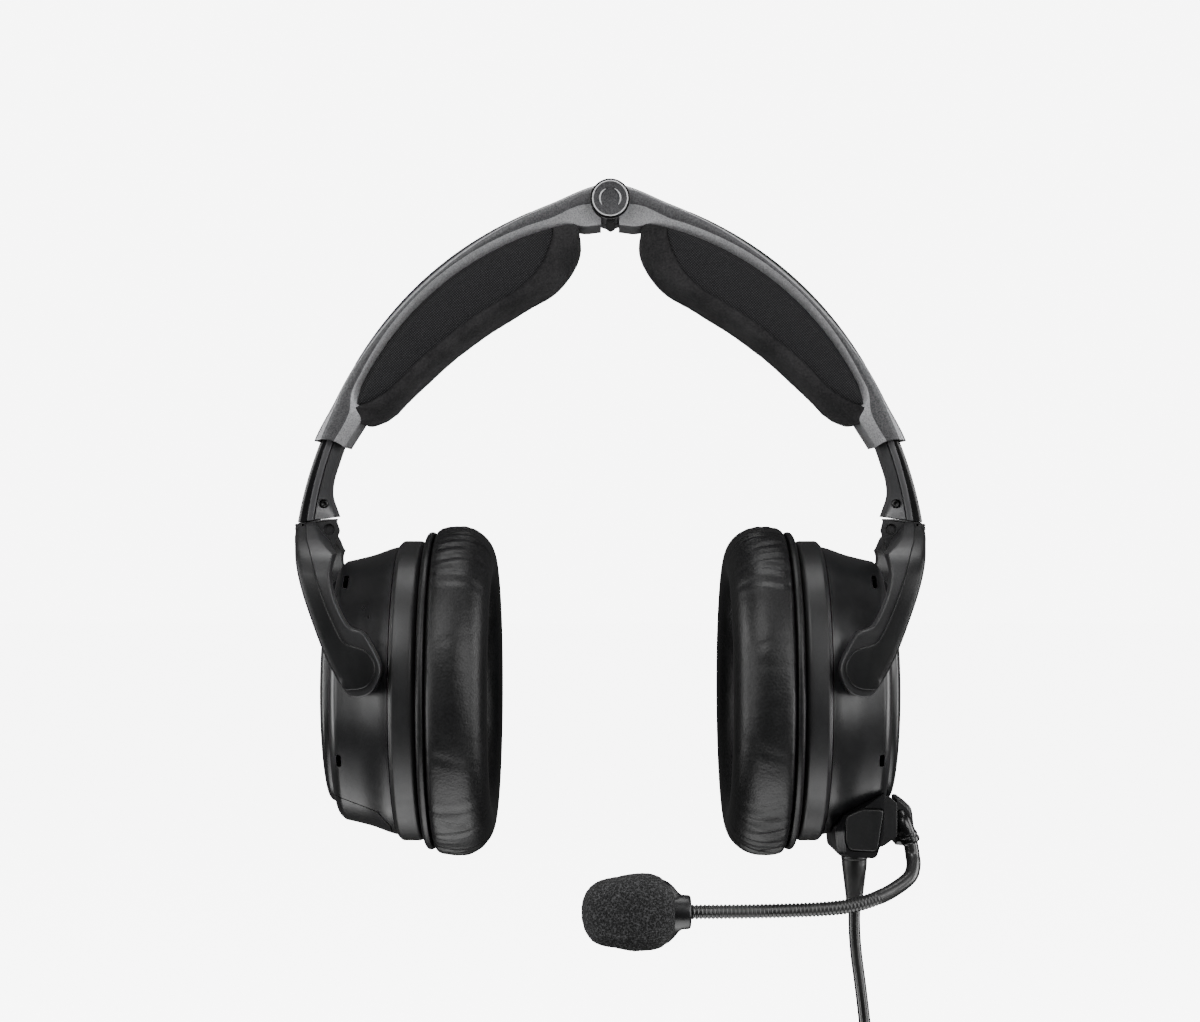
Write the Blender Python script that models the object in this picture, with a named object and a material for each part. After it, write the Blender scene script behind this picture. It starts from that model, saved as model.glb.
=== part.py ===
"""Aviation headset with a hinged headband, tilting ear cups, a gooseneck microphone and a lead.

The headset stands as it is worn. The origin is midway between the ear cushions, on the line
from ear to ear. +X runs to the wearer's left, +Y to the back of the head and +Z up. Sizes are
in millimetres and become metres in Body.place. Each half is designed on the +X side, and side
-1 mirrors it.
"""
import math

import bmesh
import bpy
from mathutils import Vector

MM = 0.001
SIDES = {"left": -1, "right": 1}
GAP = 0.3

# Headband: arcs in the XZ plane, each a centre (x, z) and a radius
BAND_OUTER = ((-26.2, 37.8), 127.1)
BAND_CREASE = ((-6.3, 58.8), 96.4)
BAND_UNDER = ((-7.6, 55.5), 96.8)
PAD_UNDER = ((-54.8, -22.2), 166.4)
PAD_CROWN = 1.5
BAND_HALF_WIDTH = 16.0
HINGE_Z = 157.8
BARREL_R = 6.15
BARREL_BORE_R = 4.6
KNUCKLE_HALF_WIDTH = 5.7
HINGE_END_DEG = 76.9
MOUTH_DEG = 19.0
NOTCH_HALF_WIDTH = 2.9

# Slider: a steel strip on the headband's own arc, and the arm it carries
STRIP_R = (123.4, 125.4)
STRIP_HALF_WIDTH = 9.0
STRIP_DEG = (21.15, 33.5)
ARM_SPLIT_R = 122.4
ARM_TOP_DEG = 20.9
ARM_FLARE_DEG = 9.0
ARM_HALF_WIDTH = 13.0
ARM_SCREW = (92.0, 60.5)
POCKET_R = (119.8, 126.9)
POCKET_TOP_DEG = 22.3
# The joint between arm and yoke: its height at x = 100 and its rise for each mm inward
JOINT_Z = 54.6
JOINT_SLOPE = 0.13

# Yoke and cup
SWIVEL = (96.8, 0.0, 54.4)
SWIVEL_PIN_R = 1.5
CUP_PIVOT = (77.6, 0.0, 8.2)
CUP_TOE_DEG = 2.3
LEG_Y = 41.9
SWIVEL_UP = (JOINT_SLOPE, 0.0, 1.0)
SWIVEL_BORE_R = SWIVEL_PIN_R + GAP
BOSS_CENTRE = (76.8, 8.3)
PIVOT_HOLE_R = 2.8
PIVOT_PIN_R = 2.5
# The yoke's front and rear legs, from a boss to the top: x, y, z, width and thickness
YOKE_FRONT = [
    (77.2, LEG_Y, 8.4, 12.0, 7.0), (81.4, LEG_Y, 15.2, 10.8, 7.0), (85.3, LEG_Y, 22.8, 9.6, 7.0),
    (88.6, 41.9, 30.8, 9.0, 6.8), (90.5, 40.6, 38.6, 9.8, 6.4), (91.3, 36.4, 44.8, 10.8, 6.0),
    (93.8, 27.5, 49.0, 8.8, 5.6), (96.2, 14.0, 51.2, 7.4, 5.2), (96.8, 0.0, 51.5, 7.2, 5.0),
]
YOKE_REAR = [
    (77.2, LEG_Y, 8.4, 12.0, 7.0), (82.0, LEG_Y, 15.2, 10.4, 7.0), (86.8, LEG_Y, 22.8, 8.8, 7.0),
    (91.0, 41.7, 30.2, 7.8, 6.8), (94.0, 39.8, 36.6, 7.4, 6.4), (95.8, 34.6, 42.0, 7.2, 6.0),
    (96.6, 26.5, 47.2, 7.2, 5.6), (96.8, 13.5, 50.8, 7.2, 5.2),
]
YOKE_CAP = [(92.6, 54.5), (91.8, 53.3), (91.8, 48.6), (90.2, 44.6), (88.3, 51.6), (89.6, 55.2)]
YOKE_CAP_HALF_WIDTH = 11.5

# Ovals about the X axis: each is x and half height, and half depth is OVAL_DROP less
OVAL_DROP = 8.5
SHELL_OUTSIDE = [(68.0, 46.7), (71.0, 45.9), (76.0, 44.1), (81.0, 42.8), (85.0, 41.9), (86.8, 40.4),
                 (87.5, 38.0), (87.5, 36.4)]
SHELL_INSIDE = [(85.6, 36.4), (84.6, 39.6), (76.0, 42.0), (68.0, 44.6)]
BEZEL = [(59.3, 47.0), (60.4, 48.5), (66.6, 48.5), (67.7, 47.4), (67.7, 45.3), (59.3, 45.3)]
COVER = [(86.0, 36.0), (88.6, 36.0), (90.2, 34.6), (91.4, 27.0, 6.5), (92.0, 12.0, 3.0)]
BAFFLE = [(60.4, 44.9), (62.4, 44.9), (62.4, 18.0, 0.0), (60.4, 18.0, 0.0)]
SCRIM = [(59.3, 43.4), (60.0, 43.4)]
CUSHION_PLATE = [(56.4, 51.2), (58.9, 51.2), (58.9, 37.0), (56.4, 37.0)]
CUSHION = [(56.0, 50.5), (54.2, 52.6), (48.0, 53.0), (42.0, 51.6), (38.2, 48.0), (37.0, 44.6),
           (37.0, 40.4), (38.2, 36.6), (42.0, 33.4), (49.0, 32.0), (56.0, 32.6)]
CUP_SIDES = 36
LINING_SIDES = 28
DRIVER = [(62.7, 21.0), (64.6, 21.0), (65.4, 15.0), (70.5, 14.0), (70.5, 9.5), (73.2, 9.5)]
BOARD_OUTLINE = ((-20, -24), (20, -24), (24, -18), (24, 18), (18, 26), (-18, 26), (-24, 18), (-24, -18))
BOARD_X = (75.4, 77.0)
VENTS = ((83.4, 35.6, -17.6), (84.2, -20.3, -29.4))
# Outlines in the XZ plane at the bottom of the cups
SERVICE_OUTLINE = [(95, -31.9), (86.6, -32.2), (73.0, -37.4), (69.6, -42.5), (69.6, -60), (95, -60)]
SERVICE_HALF_WIDTH = 27.0
BLOCK_OUTLINE = [(70.4, -43.0), (73.4, -38.1), (85.7, -31.2), (85.7, -44.0), (83.2, -51.8),
                 (71.2, -51.2)]
BLOCK_Y = (-23.6, 6.0)
BOSS_OUTLINE = [(80.0, -41.0), (85.0, -37.2), (91.4, -37.6), (91.4, -46.0), (86.6, -49.6), (80.0, -49.6)]
BOSS_Y = (-13.0, 10.0)
PANEL_OUTLINE = [(74.7, -39.0), (79.2, -36.2), (84.6, -36.2), (83.0, -48.4), (74.7, -48.0)]

# Boom and lead
BOOM_PIVOT = (91.8, 0.0, -42.3)
BOOM_R = 2.05
BOOM_ROUTE = [
    (97.3, -9.0, -52.5), (97.4, -10.9, -55.6), (95.9, -13.4, -59.0), (90.9, -16.6, -62.3),
    (85.1, -19.7, -64.7), (76.7, -24.5, -66.5), (65.9, -28.6, -67.1), (46.8, -33.0, -67.1),
    (26.4, -36.0, -66.9),
]
MIC_NECK = (24.9, -36.2, -66.9)
CORD_D = 3.8
CORD_EXIT = (78.3, -12.0, -68.6)
COIL_ROW_R = (15.6, 19.5, 23.4)
COIL_COLUMNS = 4
COIL_PITCH = 3.9
COIL_CENTRE = (58.8, -12.0, -138.5)
CORD_ROUTE = [
    CORD_EXIT, (78.3, -12.0, -76.0), (78.9, -12.2, -84.0), (79.9, -13.0, -92.0),
    (80.9, -14.4, -101.0), (81.8, -16.4, -111.0), (82.2, -17.85, -119.5),
]


# ---------------------------------------------------------------- helpers

def material(name, colour, roughness, metallic=0.0):
    """A Principled material, made once for each name."""
    found = bpy.data.materials.get(name)
    if found:
        return found
    made = bpy.data.materials.new(name)
    made.use_nodes = True
    shader = made.node_tree.nodes["Principled BSDF"]
    shader.inputs["Base Color"].default_value = (*colour, 1.0)
    shader.inputs["Roughness"].default_value = roughness
    shader.inputs["Metallic"].default_value = metallic
    return made


class Body:
    """A group of parts that move together, with an empty on its joint's axis."""

    def __init__(self, name, at, side=1, parent=None, toe_deg=0.0):
        self.side = side
        self.at = Vector((side * at[0], at[1], at[2]))
        self.empty = bpy.data.objects.new(name, None)
        self.empty.empty_display_size = 0.01
        bpy.context.scene.collection.objects.link(self.empty)
        base = Vector((0.0, 0.0, 0.0))
        if parent:
            self.empty.parent = parent.empty
            base = parent.at
        self.empty.location = (self.at - base) * MM
        self.empty.rotation_euler = (0.0, 0.0, side * math.radians(toe_deg))
        bpy.context.view_layer.update()

    def place(self, name, skin, look, in_world=False, sharp_deg=35.0):
        """A mesh object from points in millimetres. in_world takes them as they stand in the
        world, and otherwise they are the half's own, before the cup is toed."""
        verts, faces = skin
        back = self.empty.matrix_world.inverted()
        points = []
        for x, y, z in verts:
            if in_world:
                points.append(back @ (Vector((x, y, z)) * MM))
            else:
                points.append((Vector((self.side * x, y, z)) - self.at) * MM)
        data = bpy.data.meshes.new(name)
        data.from_pydata(points, [], faces)
        data.materials.append(look)
        turn_outward(data)
        data.shade_smooth()
        data.set_sharp_from_angle(angle=math.radians(sharp_deg))
        made = bpy.data.objects.new(name, data)
        made.parent = self.empty
        bpy.context.scene.collection.objects.link(made)
        return made

    def tool(self, skin, in_world=False):
        """A cutter for boolean(), in the same frame as this body's parts."""
        return self.place("tool", skin, rubber(), in_world)


def turn_outward(data):
    shape = bmesh.new()
    shape.from_mesh(data)
    bmesh.ops.remove_doubles(shape, verts=shape.verts, dist=1e-7)
    bmesh.ops.recalc_face_normals(shape, faces=shape.faces)
    shape.to_mesh(data)
    shape.free()


def boolean(part, tool, operation):
    """Cuts, joins or keeps the common part, and takes the tool out of the scene."""
    step = part.modifiers.new(operation, "BOOLEAN")
    step.operation = operation
    step.object = tool
    bpy.context.view_layer.update()
    graph = bpy.context.evaluated_depsgraph_get()
    result = bpy.data.meshes.new_from_object(part.evaluated_get(graph))
    part.modifiers.clear()
    old = part.data
    part.data = result
    result.name = old.name
    bpy.data.meshes.remove(old)
    bpy.data.objects.remove(tool)


def cut(part, tool):
    boolean(part, tool, "DIFFERENCE")


def join(part, tool):
    boolean(part, tool, "UNION")


def skin_of(rings, closed=False):
    """Points and faces of a surface through equal rings, with its ends capped or joined."""
    count = len(rings[0])
    verts = [tuple(point) for ring in rings for point in ring]
    faces = []
    for i in range(len(rings) if closed else len(rings) - 1):
        here = i * count
        there = (i + 1) % len(rings) * count
        for j in range(count):
            k = (j + 1) % count
            faces.append((here + j, here + k, there + k, there + j))
    if not closed:
        faces.append(tuple(range(count)))
        faces.append(tuple((len(rings) - 1) * count + j for j in range(count)))
    return verts, faces


def oval_skin(profile, count, closed=True):
    """A ring about the X axis: each (x, half height) of the profile, an oval or a circle."""
    rings = []
    for x, half_height, *own_drop in profile:
        half_depth = half_height - (own_drop[0] if own_drop else OVAL_DROP)
        turn = [2 * math.pi * i / count for i in range(count)]
        rings.append([(x, half_depth * math.cos(a), half_height * math.sin(a)) for a in turn])
    return skin_of(rings, closed)


def lathe_skin(start, direction, profile, count):
    """A turned solid: each (distance along the axis, radius) from a point in a direction."""
    axis = Vector(direction).normalized()
    across = axis.orthogonal().normalized()
    other = axis.cross(across)
    rings = []
    for along, radius in profile:
        centre = Vector(start) + axis * along
        turn = [2 * math.pi * i / count for i in range(count)]
        rings.append([centre + (across * math.cos(a) + other * math.sin(a)) * radius for a in turn])
    return skin_of(rings)


def tube_ring_skin(start, direction, profile, count):
    """A turned ring: the profile closes on itself away from the axis."""
    verts, faces = lathe_skin(start, direction, profile, count)
    faces = faces[:-2]
    last = (len(profile) - 1) * count
    for j in range(count):
        k = (j + 1) % count
        faces.append((last + j, last + k, k, j))
    return verts, faces


def prism_skin(outline, y_low, y_high):
    """An outline of (x, z) points, extruded along Y."""
    return skin_of([[(x, y, z) for x, z in outline] for y in (y_low, y_high)])


def disc_y_skin(x, z, radius, y_low, y_high, count=24):
    return lathe_skin((x, y_low, z), (0, 1, 0), [(0, radius), (y_high - y_low, radius)], count)


def sector_skin(centre, r_in, r_out, deg_low, deg_high, half_width, steps):
    """A curved bar of rectangular section along an arc in the XZ plane."""
    rings = []
    for i in range(steps + 1):
        a = math.radians(deg_low + (deg_high - deg_low) * i / steps)
        corners = ((r_in, -half_width), (r_in, half_width), (r_out, half_width), (r_out, -half_width))
        rings.append([on_arc(centre, r, a, y) for r, y in corners])
    return skin_of(rings)


def on_arc(centre, radius, angle, y=0.0):
    return (centre[0] + radius * math.cos(angle), y, centre[1] + radius * math.sin(angle))


def inward_distance(point, angle, arc):
    """How far an arc lies from a point of the headband's outer arc, going straight inward."""
    (cx, cz), radius = arc
    dx, dz = point[0] - cx, point[2] - cz
    along = dx * math.cos(angle) + dz * math.sin(angle)
    return along - math.sqrt(along * along - (dx * dx + dz * dz - radius * radius))


def smooth(t):
    t = min(max(t, 0.0), 1.0)
    return t * t * (3 - 2 * t)


def smooth_curve(route, spacing):
    """Points at an even spacing on a smooth curve through a route's points."""
    points = [Vector(p) for p in route]
    points = [2 * points[0] - points[1]] + points + [2 * points[-1] - points[-2]]
    dense = []
    for i in range(1, len(points) - 2):
        p0, p1, p2, p3 = points[i - 1:i + 3]
        for n in range(24):
            t = n / 24
            dense.append(0.5 * (2 * p1 + (p2 - p0) * t + (2 * p0 - 5 * p1 + 4 * p2 - p3) * t * t
                                + (3 * p1 - p0 - 3 * p2 + p3) * t ** 3))
    dense.append(points[-2])
    lengths = [0.0]
    for a, b in zip(dense, dense[1:]):
        lengths.append(lengths[-1] + (b - a).length)
    count = max(2, round(lengths[-1] / spacing))
    even = []
    k = 0
    for n in range(count + 1):
        want = lengths[-1] * n / count
        while k < len(lengths) - 2 and lengths[k + 1] < want:
            k += 1
        t = (want - lengths[k]) / (lengths[k + 1] - lengths[k])
        even.append(dense[k].lerp(dense[k + 1], t))
    return even


def cord_tube(name, body, points, diameter, look):
    """A cord's free stretch, as a curve with a round bevel."""
    data = bpy.data.curves.new(name, "CURVE")
    data.dimensions = "3D"
    data.bevel_depth = diameter / 2 * MM
    data.bevel_resolution = 2
    data.use_fill_caps = True
    spline = data.splines.new("POLY")
    spline.points.add(len(points) - 1)
    back = body.empty.matrix_world.inverted()
    for point, place in zip(spline.points, points):
        point.co = (*(back @ (place * MM)), 1.0)
    data.materials.append(look)
    made = bpy.data.objects.new(name, data)
    made.parent = body.empty
    bpy.context.scene.collection.objects.link(made)
    return made


# ---------------------------------------------------------------- materials

def cast_grey():
    return material("cast_grey", (0.10, 0.10, 0.105), 0.45, 0.6)


def black_plastic():
    return material("black_plastic", (0.018, 0.018, 0.02), 0.42)


def satin_grey():
    return material("satin_grey", (0.045, 0.045, 0.048), 0.35)


def steel():
    return material("steel", (0.5, 0.5, 0.5), 0.3, 1.0)


def leather():
    return material("leather", (0.012, 0.012, 0.013), 0.5)


def fabric():
    return material("fabric", (0.02, 0.02, 0.022), 0.95)


def foam():
    return material("foam", (0.01, 0.01, 0.01), 1.0)


def rubber():
    return material("rubber", (0.015, 0.015, 0.016), 0.6)


def board_green():
    return material("board_green", (0.02, 0.1, 0.04), 0.5)


# ---------------------------------------------------------------- headband

def build_hinge(core):
    """The pin, its two caps and the spring that squeezes the halves together."""
    reach = BAND_HALF_WIDTH + 1.5
    core.place("hinge_pin", disc_y_skin(0, HINGE_Z, 2.2, -reach, reach, 16), steel())
    cap = [(0, 5.4), (0.9, 5.4), (1.3, 5.0), (1.3, 3.5), (0.8, 3.2)]
    for name, facing in (("hinge_cap_front", -1), ("hinge_cap_rear", 1)):
        start = (0, facing * (reach + GAP), HINGE_Z)
        core.place(name, lathe_skin(start, (0, facing, 0), cap, 28), cast_grey())
    coil_r, wire_r, turns, steps = 3.4, 0.5, 4, 12
    rings = []
    for i in range(turns * steps + 1):
        a = 2 * math.pi * i / steps
        outward = Vector((math.cos(a), 0, math.sin(a)))
        centre = Vector((0, -4.4 + 8.8 * i / (turns * steps), HINGE_Z)) + outward * coil_r
        corners = [math.pi / 3 * j for j in range(6)]
        rings.append([centre + outward * wire_r * math.cos(c)
                      + Vector((0, wire_r * math.sin(c), 0)) for c in corners])
    core.place("hinge_spring", skin_of(rings), steel())


def band_edges(angle):
    """Outer radius, and depths of the crease and of the under side, at an angle of the arc."""
    centre, radius = BAND_OUTER
    past_mouth = radius * (angle - math.radians(MOUTH_DEG))
    outer = radius + 1.2 * (1 - smooth(past_mouth / 16))
    point = on_arc(centre, radius, angle)
    crease = inward_distance(point, angle, BAND_CREASE) - 2.2 * smooth((22 - point[0]) / 12)
    under = inward_distance(point, angle, BAND_UNDER) + 1.9 * smooth((17 - point[0]) / 7)
    under += 2.2 * (1 - smooth(past_mouth / 20))
    grown = outer - radius
    return outer, crease + grown, under + grown


def build_band(body, name, central_knuckle):
    """One cast half of the headband, with its hinge knuckles and the slot for the slider."""
    half = BAND_HALF_WIDTH
    rings = []
    steps = 24
    for i in range(steps + 1):
        a = math.radians(HINGE_END_DEG + (MOUTH_DEG - HINGE_END_DEG) * i / steps)
        outer, crease, under = band_edges(a)
        section = [(0, 1.6 - half), (0, half - 1.6), (1.1, half), (crease, half),
                   (under, half - 3.0), (under, 3.0 - half), (crease, -half), (1.1, -half)]
        rings.append([on_arc(BAND_OUTER[0], outer - depth, a, y) for depth, y in section])
    band = body.place(name, skin_of(rings), cast_grey())
    cut(band, body.tool(prism_skin([(NOTCH_HALF_WIDTH, 130), (NOTCH_HALF_WIDTH, 175),
                                    (-12, 175), (-12, 130)], -20, 20)))
    inner, outer = KNUCKLE_HALF_WIDTH, half + 1.5
    if central_knuckle:
        for low, high in ((-20, -inner - GAP), (inner + GAP, 20)):
            cut(band, body.tool(disc_y_skin(0, HINGE_Z, BARREL_R + 0.55, low, high, 32)))
        join(band, body.tool(disc_y_skin(0, HINGE_Z, BARREL_R - 0.1, -inner, inner, 32)))
    else:
        cut(band, body.tool(disc_y_skin(0, HINGE_Z, BARREL_R + 0.4, -inner - GAP, inner + GAP, 32)))
        for low, high in ((-outer, -inner - 2 * GAP), (inner + 2 * GAP, outer)):
            join(band, body.tool(disc_y_skin(0, HINGE_Z, BARREL_R, low, high, 32)))
    cut(band, body.tool(disc_y_skin(0, HINGE_Z, BARREL_BORE_R, -24, 24, 24)))
    pocket = sector_skin(BAND_OUTER[0], *POCKET_R, MOUTH_DEG - 3, POCKET_TOP_DEG, 13.4, 4)
    cut(band, body.tool(pocket))
    slot = sector_skin(BAND_OUTER[0], STRIP_R[0] - GAP, STRIP_R[1] + GAP, MOUTH_DEG, 35.0,
                       STRIP_HALF_WIDTH + GAP, 6)
    cut(band, body.tool(slot))
    cut(band, body.tool(disc_y_skin(91.6, 71.6, 9.5, -20, 20, 34)))


def build_band_trim(body, name):
    """The black wear strip along the top of a headband half."""
    rings = []
    for i in range(13):
        a = math.radians(32 + 34 * i / 12)
        rise = 0.35 + 0.6 * math.sin(math.pi * i / 12)
        low = band_edges(a)[0] + GAP
        section = [(low, -12.5), (low, 12.5), (low + rise, 11.5), (low + rise, -11.5)]
        rings.append([on_arc(BAND_OUTER[0], r, a, y) for r, y in section])
    body.place(name, skin_of(rings), black_plastic())


def pad_bottom(angle):
    """The pad's lower radius about the under arc's centre."""
    centre = BAND_UNDER[0]
    return BAND_UNDER[1] - inward_distance(on_arc(centre, BAND_UNDER[1], angle), angle, PAD_UNDER)


def build_head_pad(body, side_name):
    centre, radius = BAND_UNDER
    plate = sector_skin(centre, radius - 1.7, radius - GAP, 28, 72, 11, 10)
    body.place(f"pad_plate_{side_name}", plate, black_plastic())
    rings = []
    steps = 16
    for i in range(steps + 1):
        u = 0.5 - 0.5 * math.cos(math.pi * i / steps)
        deg = 22.0 + 56.0 * u
        a = math.radians(deg)
        top = radius - 2.0 - 3.0 * smooth((deg - 70) / 7) - 3.0 * smooth((30 - deg) / 8)
        low = pad_bottom(a) + PAD_CROWN
        end = max(0.0, abs(2 * u - 1) - 0.86) / 0.14
        full = math.sqrt(max(0.12, 1 - end * end))
        middle, half = top - (top - low) / 2 * full, (top - low) / 2 * full
        wide = 15.4 * (0.75 + 0.25 * full)
        section = [(middle + half, wide - 2), (middle + half * 0.5, wide), (middle - half * 0.6, wide),
                   (middle - half, wide - 5)]
        section += [(r, -y) for r, y in reversed(section)]
        rings.append([on_arc(centre, r, a, y) for r, y in section])
    body.place(f"head_pad_{side_name}", skin_of(rings), fabric(), sharp_deg=60)


# ---------------------------------------------------------------- arm and yoke

def joint_z(x):
    return JOINT_Z + (100 - x) * JOINT_SLOPE


def foot_angle(radius, lift):
    """Where an arc of the arm meets the sloping joint above the yoke."""
    (cx, cz), angle = BAND_OUTER[0], 0.14
    for _ in range(4):
        angle = math.asin((joint_z(cx + radius * math.cos(angle)) + lift - cz) / radius)
    return angle


def build_arm(body, side_name):
    centre = BAND_OUTER[0]
    high = math.radians(ARM_TOP_DEG)
    rings, inner_rings = [], []
    steps = 9
    for i in range(steps + 1):
        share = i / steps
        outer = 127.3 - 0.9 * share
        w = ARM_HALF_WIDTH
        section = [(ARM_SPLIT_R + 0.15, -w), (ARM_SPLIT_R + 0.15, w), (124.3, w),
                   (outer - 0.7, w - 1.2), (outer, w - 4), (outer, 4 - w), (outer - 0.7, 1.2 - w),
                   (124.3, -w)]
        low = [foot_angle(r, 0.0) for r, y in section]
        rings.append([on_arc(centre, r, a + (high - a) * share, y) for a, (r, y) in zip(low, section)])
        deg = ARM_FLARE_DEG + (ARM_TOP_DEG - ARM_FLARE_DEG) * share
        under = 121.2 - 0.7 * smooth((deg - 14) / 5.5) - 3.5 * (1 - smooth((deg - ARM_FLARE_DEG) / 4))
        split = ARM_SPLIT_R - 0.15
        flank = (split - under) * 0.8
        section = [(under, -7.0), (under, 7.0), (split - flank, 8.4), (split, w - 0.4), (split, 0.4 - w),
                   (split - flank, -8.4)]
        low = [foot_angle(r, 0.15) for r, y in section]
        inner_rings.append([on_arc(centre, r, a + (high - a) * share, y)
                            for a, (r, y) in zip(low, section)])
    outer_half = body.place(f"arm_outer_{side_name}", skin_of(rings), black_plastic())
    inner_half = body.place(f"arm_inner_{side_name}", skin_of(inner_rings), satin_grey())
    bore = lathe_skin(SWIVEL, SWIVEL_UP, [(-2, SWIVEL_BORE_R), (8.5, SWIVEL_BORE_R)], 12)
    cut(outer_half, body.tool(bore))
    for low_y, high_y in ((-20, -8.0), (8.0, 20)):
        cut(inner_half, body.tool(disc_y_skin(*ARM_SCREW, 1.5, low_y, high_y, 12)))
    strip = sector_skin(centre, *STRIP_R, *STRIP_DEG, STRIP_HALF_WIDTH, 6)
    body.place(f"slider_strip_{side_name}", strip, steel())


def build_yoke(body, side_name):
    """A fork that reaches round the cup, its inner cap and its pins."""
    path = [(x, -y, z, w, t) for x, y, z, w, t in YOKE_FRONT] + YOKE_REAR[::-1]
    centres = [Vector(p[:3]) for p in path]
    rings = []
    for i, (x, y, z, width, thick) in enumerate(path):
        along = (centres[min(i + 1, len(path) - 1)] - centres[max(i - 1, 0)]).normalized()
        across = (Vector((1, 0, 0)) - along * along.x).normalized()
        outward = across.cross(along).normalized()
        w, t = width / 2, thick / 2
        section = [(w - 1.6, -t), (w, 1.6 - t), (w, t - 3.0), (w - 2.6, t), (3.4 - w, t),
                   (2.8 - w, t - 1.2), (-w, t - 1.6), (-w, 1.0 - t), (1.0 - w, -t)]
        rings.append([centres[i] + across * u + outward * v for u, v in section])
    yoke = body.place(f"yoke_{side_name}", skin_of(rings), black_plastic())
    for facing in (-1, 1):
        boss = [(-3.4, 7.4), (1.2, 7.4), (2.3, 6.2), (3.5, 5.4)]
        start = (BOSS_CENTRE[0], facing * LEG_Y, BOSS_CENTRE[1])
        join(yoke, body.tool(lathe_skin(start, (0, facing, 0), boss, 28)))
    stem = [(93.4, 50), (100.3, 50), (100.3, joint_z(100.3) - 0.5), (93.4, joint_z(93.4) - 0.5)]
    join(yoke, body.tool(prism_skin(stem, -12.8, 12.8)))
    bore = lathe_skin(SWIVEL, SWIVEL_UP, [(-9, SWIVEL_BORE_R), (8, SWIVEL_BORE_R)], 12)
    cut(yoke, body.tool(bore))
    for facing in (-1, 1):
        reach = sorted((facing * 30, facing * 45))
        hole = disc_y_skin(CUP_PIVOT[0], CUP_PIVOT[2], PIVOT_HOLE_R, *reach, 16)
        cut(yoke, body.tool(hole))
    pin = lathe_skin(SWIVEL, SWIVEL_UP, [(-4.5, SWIVEL_PIN_R), (6.5, SWIVEL_PIN_R)], 12)
    body.place(f"swivel_pin_{side_name}", pin, steel())
    cap = prism_skin(YOKE_CAP, -YOKE_CAP_HALF_WIDTH, YOKE_CAP_HALF_WIDTH)
    body.place(f"yoke_cap_{side_name}", cap, satin_grey())
    for end, facing in (("front", -1), ("rear", 1)):
        start = (CUP_PIVOT[0], facing * 43.4, CUP_PIVOT[2])
        shape = lathe_skin(start, (0, -facing, 0), [(0, PIVOT_PIN_R), (11.5, PIVOT_PIN_R)], 14)
        body.place(f"pivot_pin_{end}_{side_name}", shape, steel())


# ---------------------------------------------------------------- ear cup


def grown(outline, by):
    """An outline pushed out from its own middle."""
    mx = sum(x for x, z in outline) / len(outline)
    mz = sum(z for x, z in outline) / len(outline)
    pushed = []
    for x, z in outline:
        far = math.hypot(x - mx, z - mz)
        pushed.append((x + (x - mx) * by / far, z + (z - mz) * by / far))
    return pushed


def build_cup(body, side_name):
    shell_skin = oval_skin(SHELL_OUTSIDE + SHELL_INSIDE, CUP_SIDES)
    shell = body.place(f"cup_shell_{side_name}", shell_skin, black_plastic())
    for facing in (-1, 1):
        reach = sorted((facing * 28, facing * 48))
        hole = disc_y_skin(CUP_PIVOT[0], CUP_PIVOT[2], PIVOT_HOLE_R, *reach, 16)
        cut(shell, body.tool(hole))
    for x, z, y in VENTS:
        vent = [(x - 0.8, z - 2), (x + 0.8, z - 2), (x + 0.8, z + 2), (x - 0.8, z + 2)]
        cut(shell, body.tool(prism_skin(vent, y - 5, y + 5)))
    ovals = (
        ("cup_bezel", BEZEL, CUP_SIDES, True, black_plastic()),
        ("cup_cover", COVER, CUP_SIDES, False, black_plastic()),
        ("baffle", BAFFLE, LINING_SIDES, True, black_plastic()),
        ("scrim", SCRIM, LINING_SIDES, False, fabric()),
        ("cushion_plate", CUSHION_PLATE, LINING_SIDES, True, black_plastic()),
    )
    for name, profile, count, closed, look in ovals:
        body.place(f"{name}_{side_name}", oval_skin(profile, count, closed), look)
    body.place(f"ear_cushion_{side_name}", oval_skin(CUSHION, 32), leather(), sharp_deg=60)
    body.place(f"driver_{side_name}", lathe_skin((0, 0, 0), (1, 0, 0), DRIVER, 24), steel())
    board = skin_of([[(x, y, z) for y, z in BOARD_OUTLINE] for x in BOARD_X])
    body.place(f"circuit_board_{side_name}", board, board_green())
    return shell


def build_service_cover(body, shell):
    """The screwed cover over the unused boom socket at the bottom of the cup."""
    half = SERVICE_HALF_WIDTH
    cover_skin = oval_skin(SHELL_OUTSIDE + SHELL_INSIDE, CUP_SIDES)
    cover = body.place("service_cover", cover_skin, black_plastic())
    boolean(cover, body.tool(prism_skin(SERVICE_OUTLINE, -half, half)), "INTERSECT")
    cut(shell, body.tool(prism_skin(grown(SERVICE_OUTLINE, 0.4), -half - 0.4, half + 0.4)))


def build_connector(body, shell):
    """The housing where the lead and the boom join the cup."""
    block = body.place("connector_block", prism_skin(BLOCK_OUTLINE, *BLOCK_Y), black_plastic())
    join(block, body.tool(prism_skin(BOSS_OUTLINE, *BOSS_Y)))
    join(block, body.tool(prism_skin(PANEL_OUTLINE, BLOCK_Y[0] - 1.0, BLOCK_Y[0] + 0.6)))
    for outline, (front, back) in ((BLOCK_OUTLINE, BLOCK_Y), (BOSS_OUTLINE, BOSS_Y)):
        cut(shell, body.tool(prism_skin(grown(outline, 0.6), front - 0.4, back + 0.4)))


# ---------------------------------------------------------------- boom and lead

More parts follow.
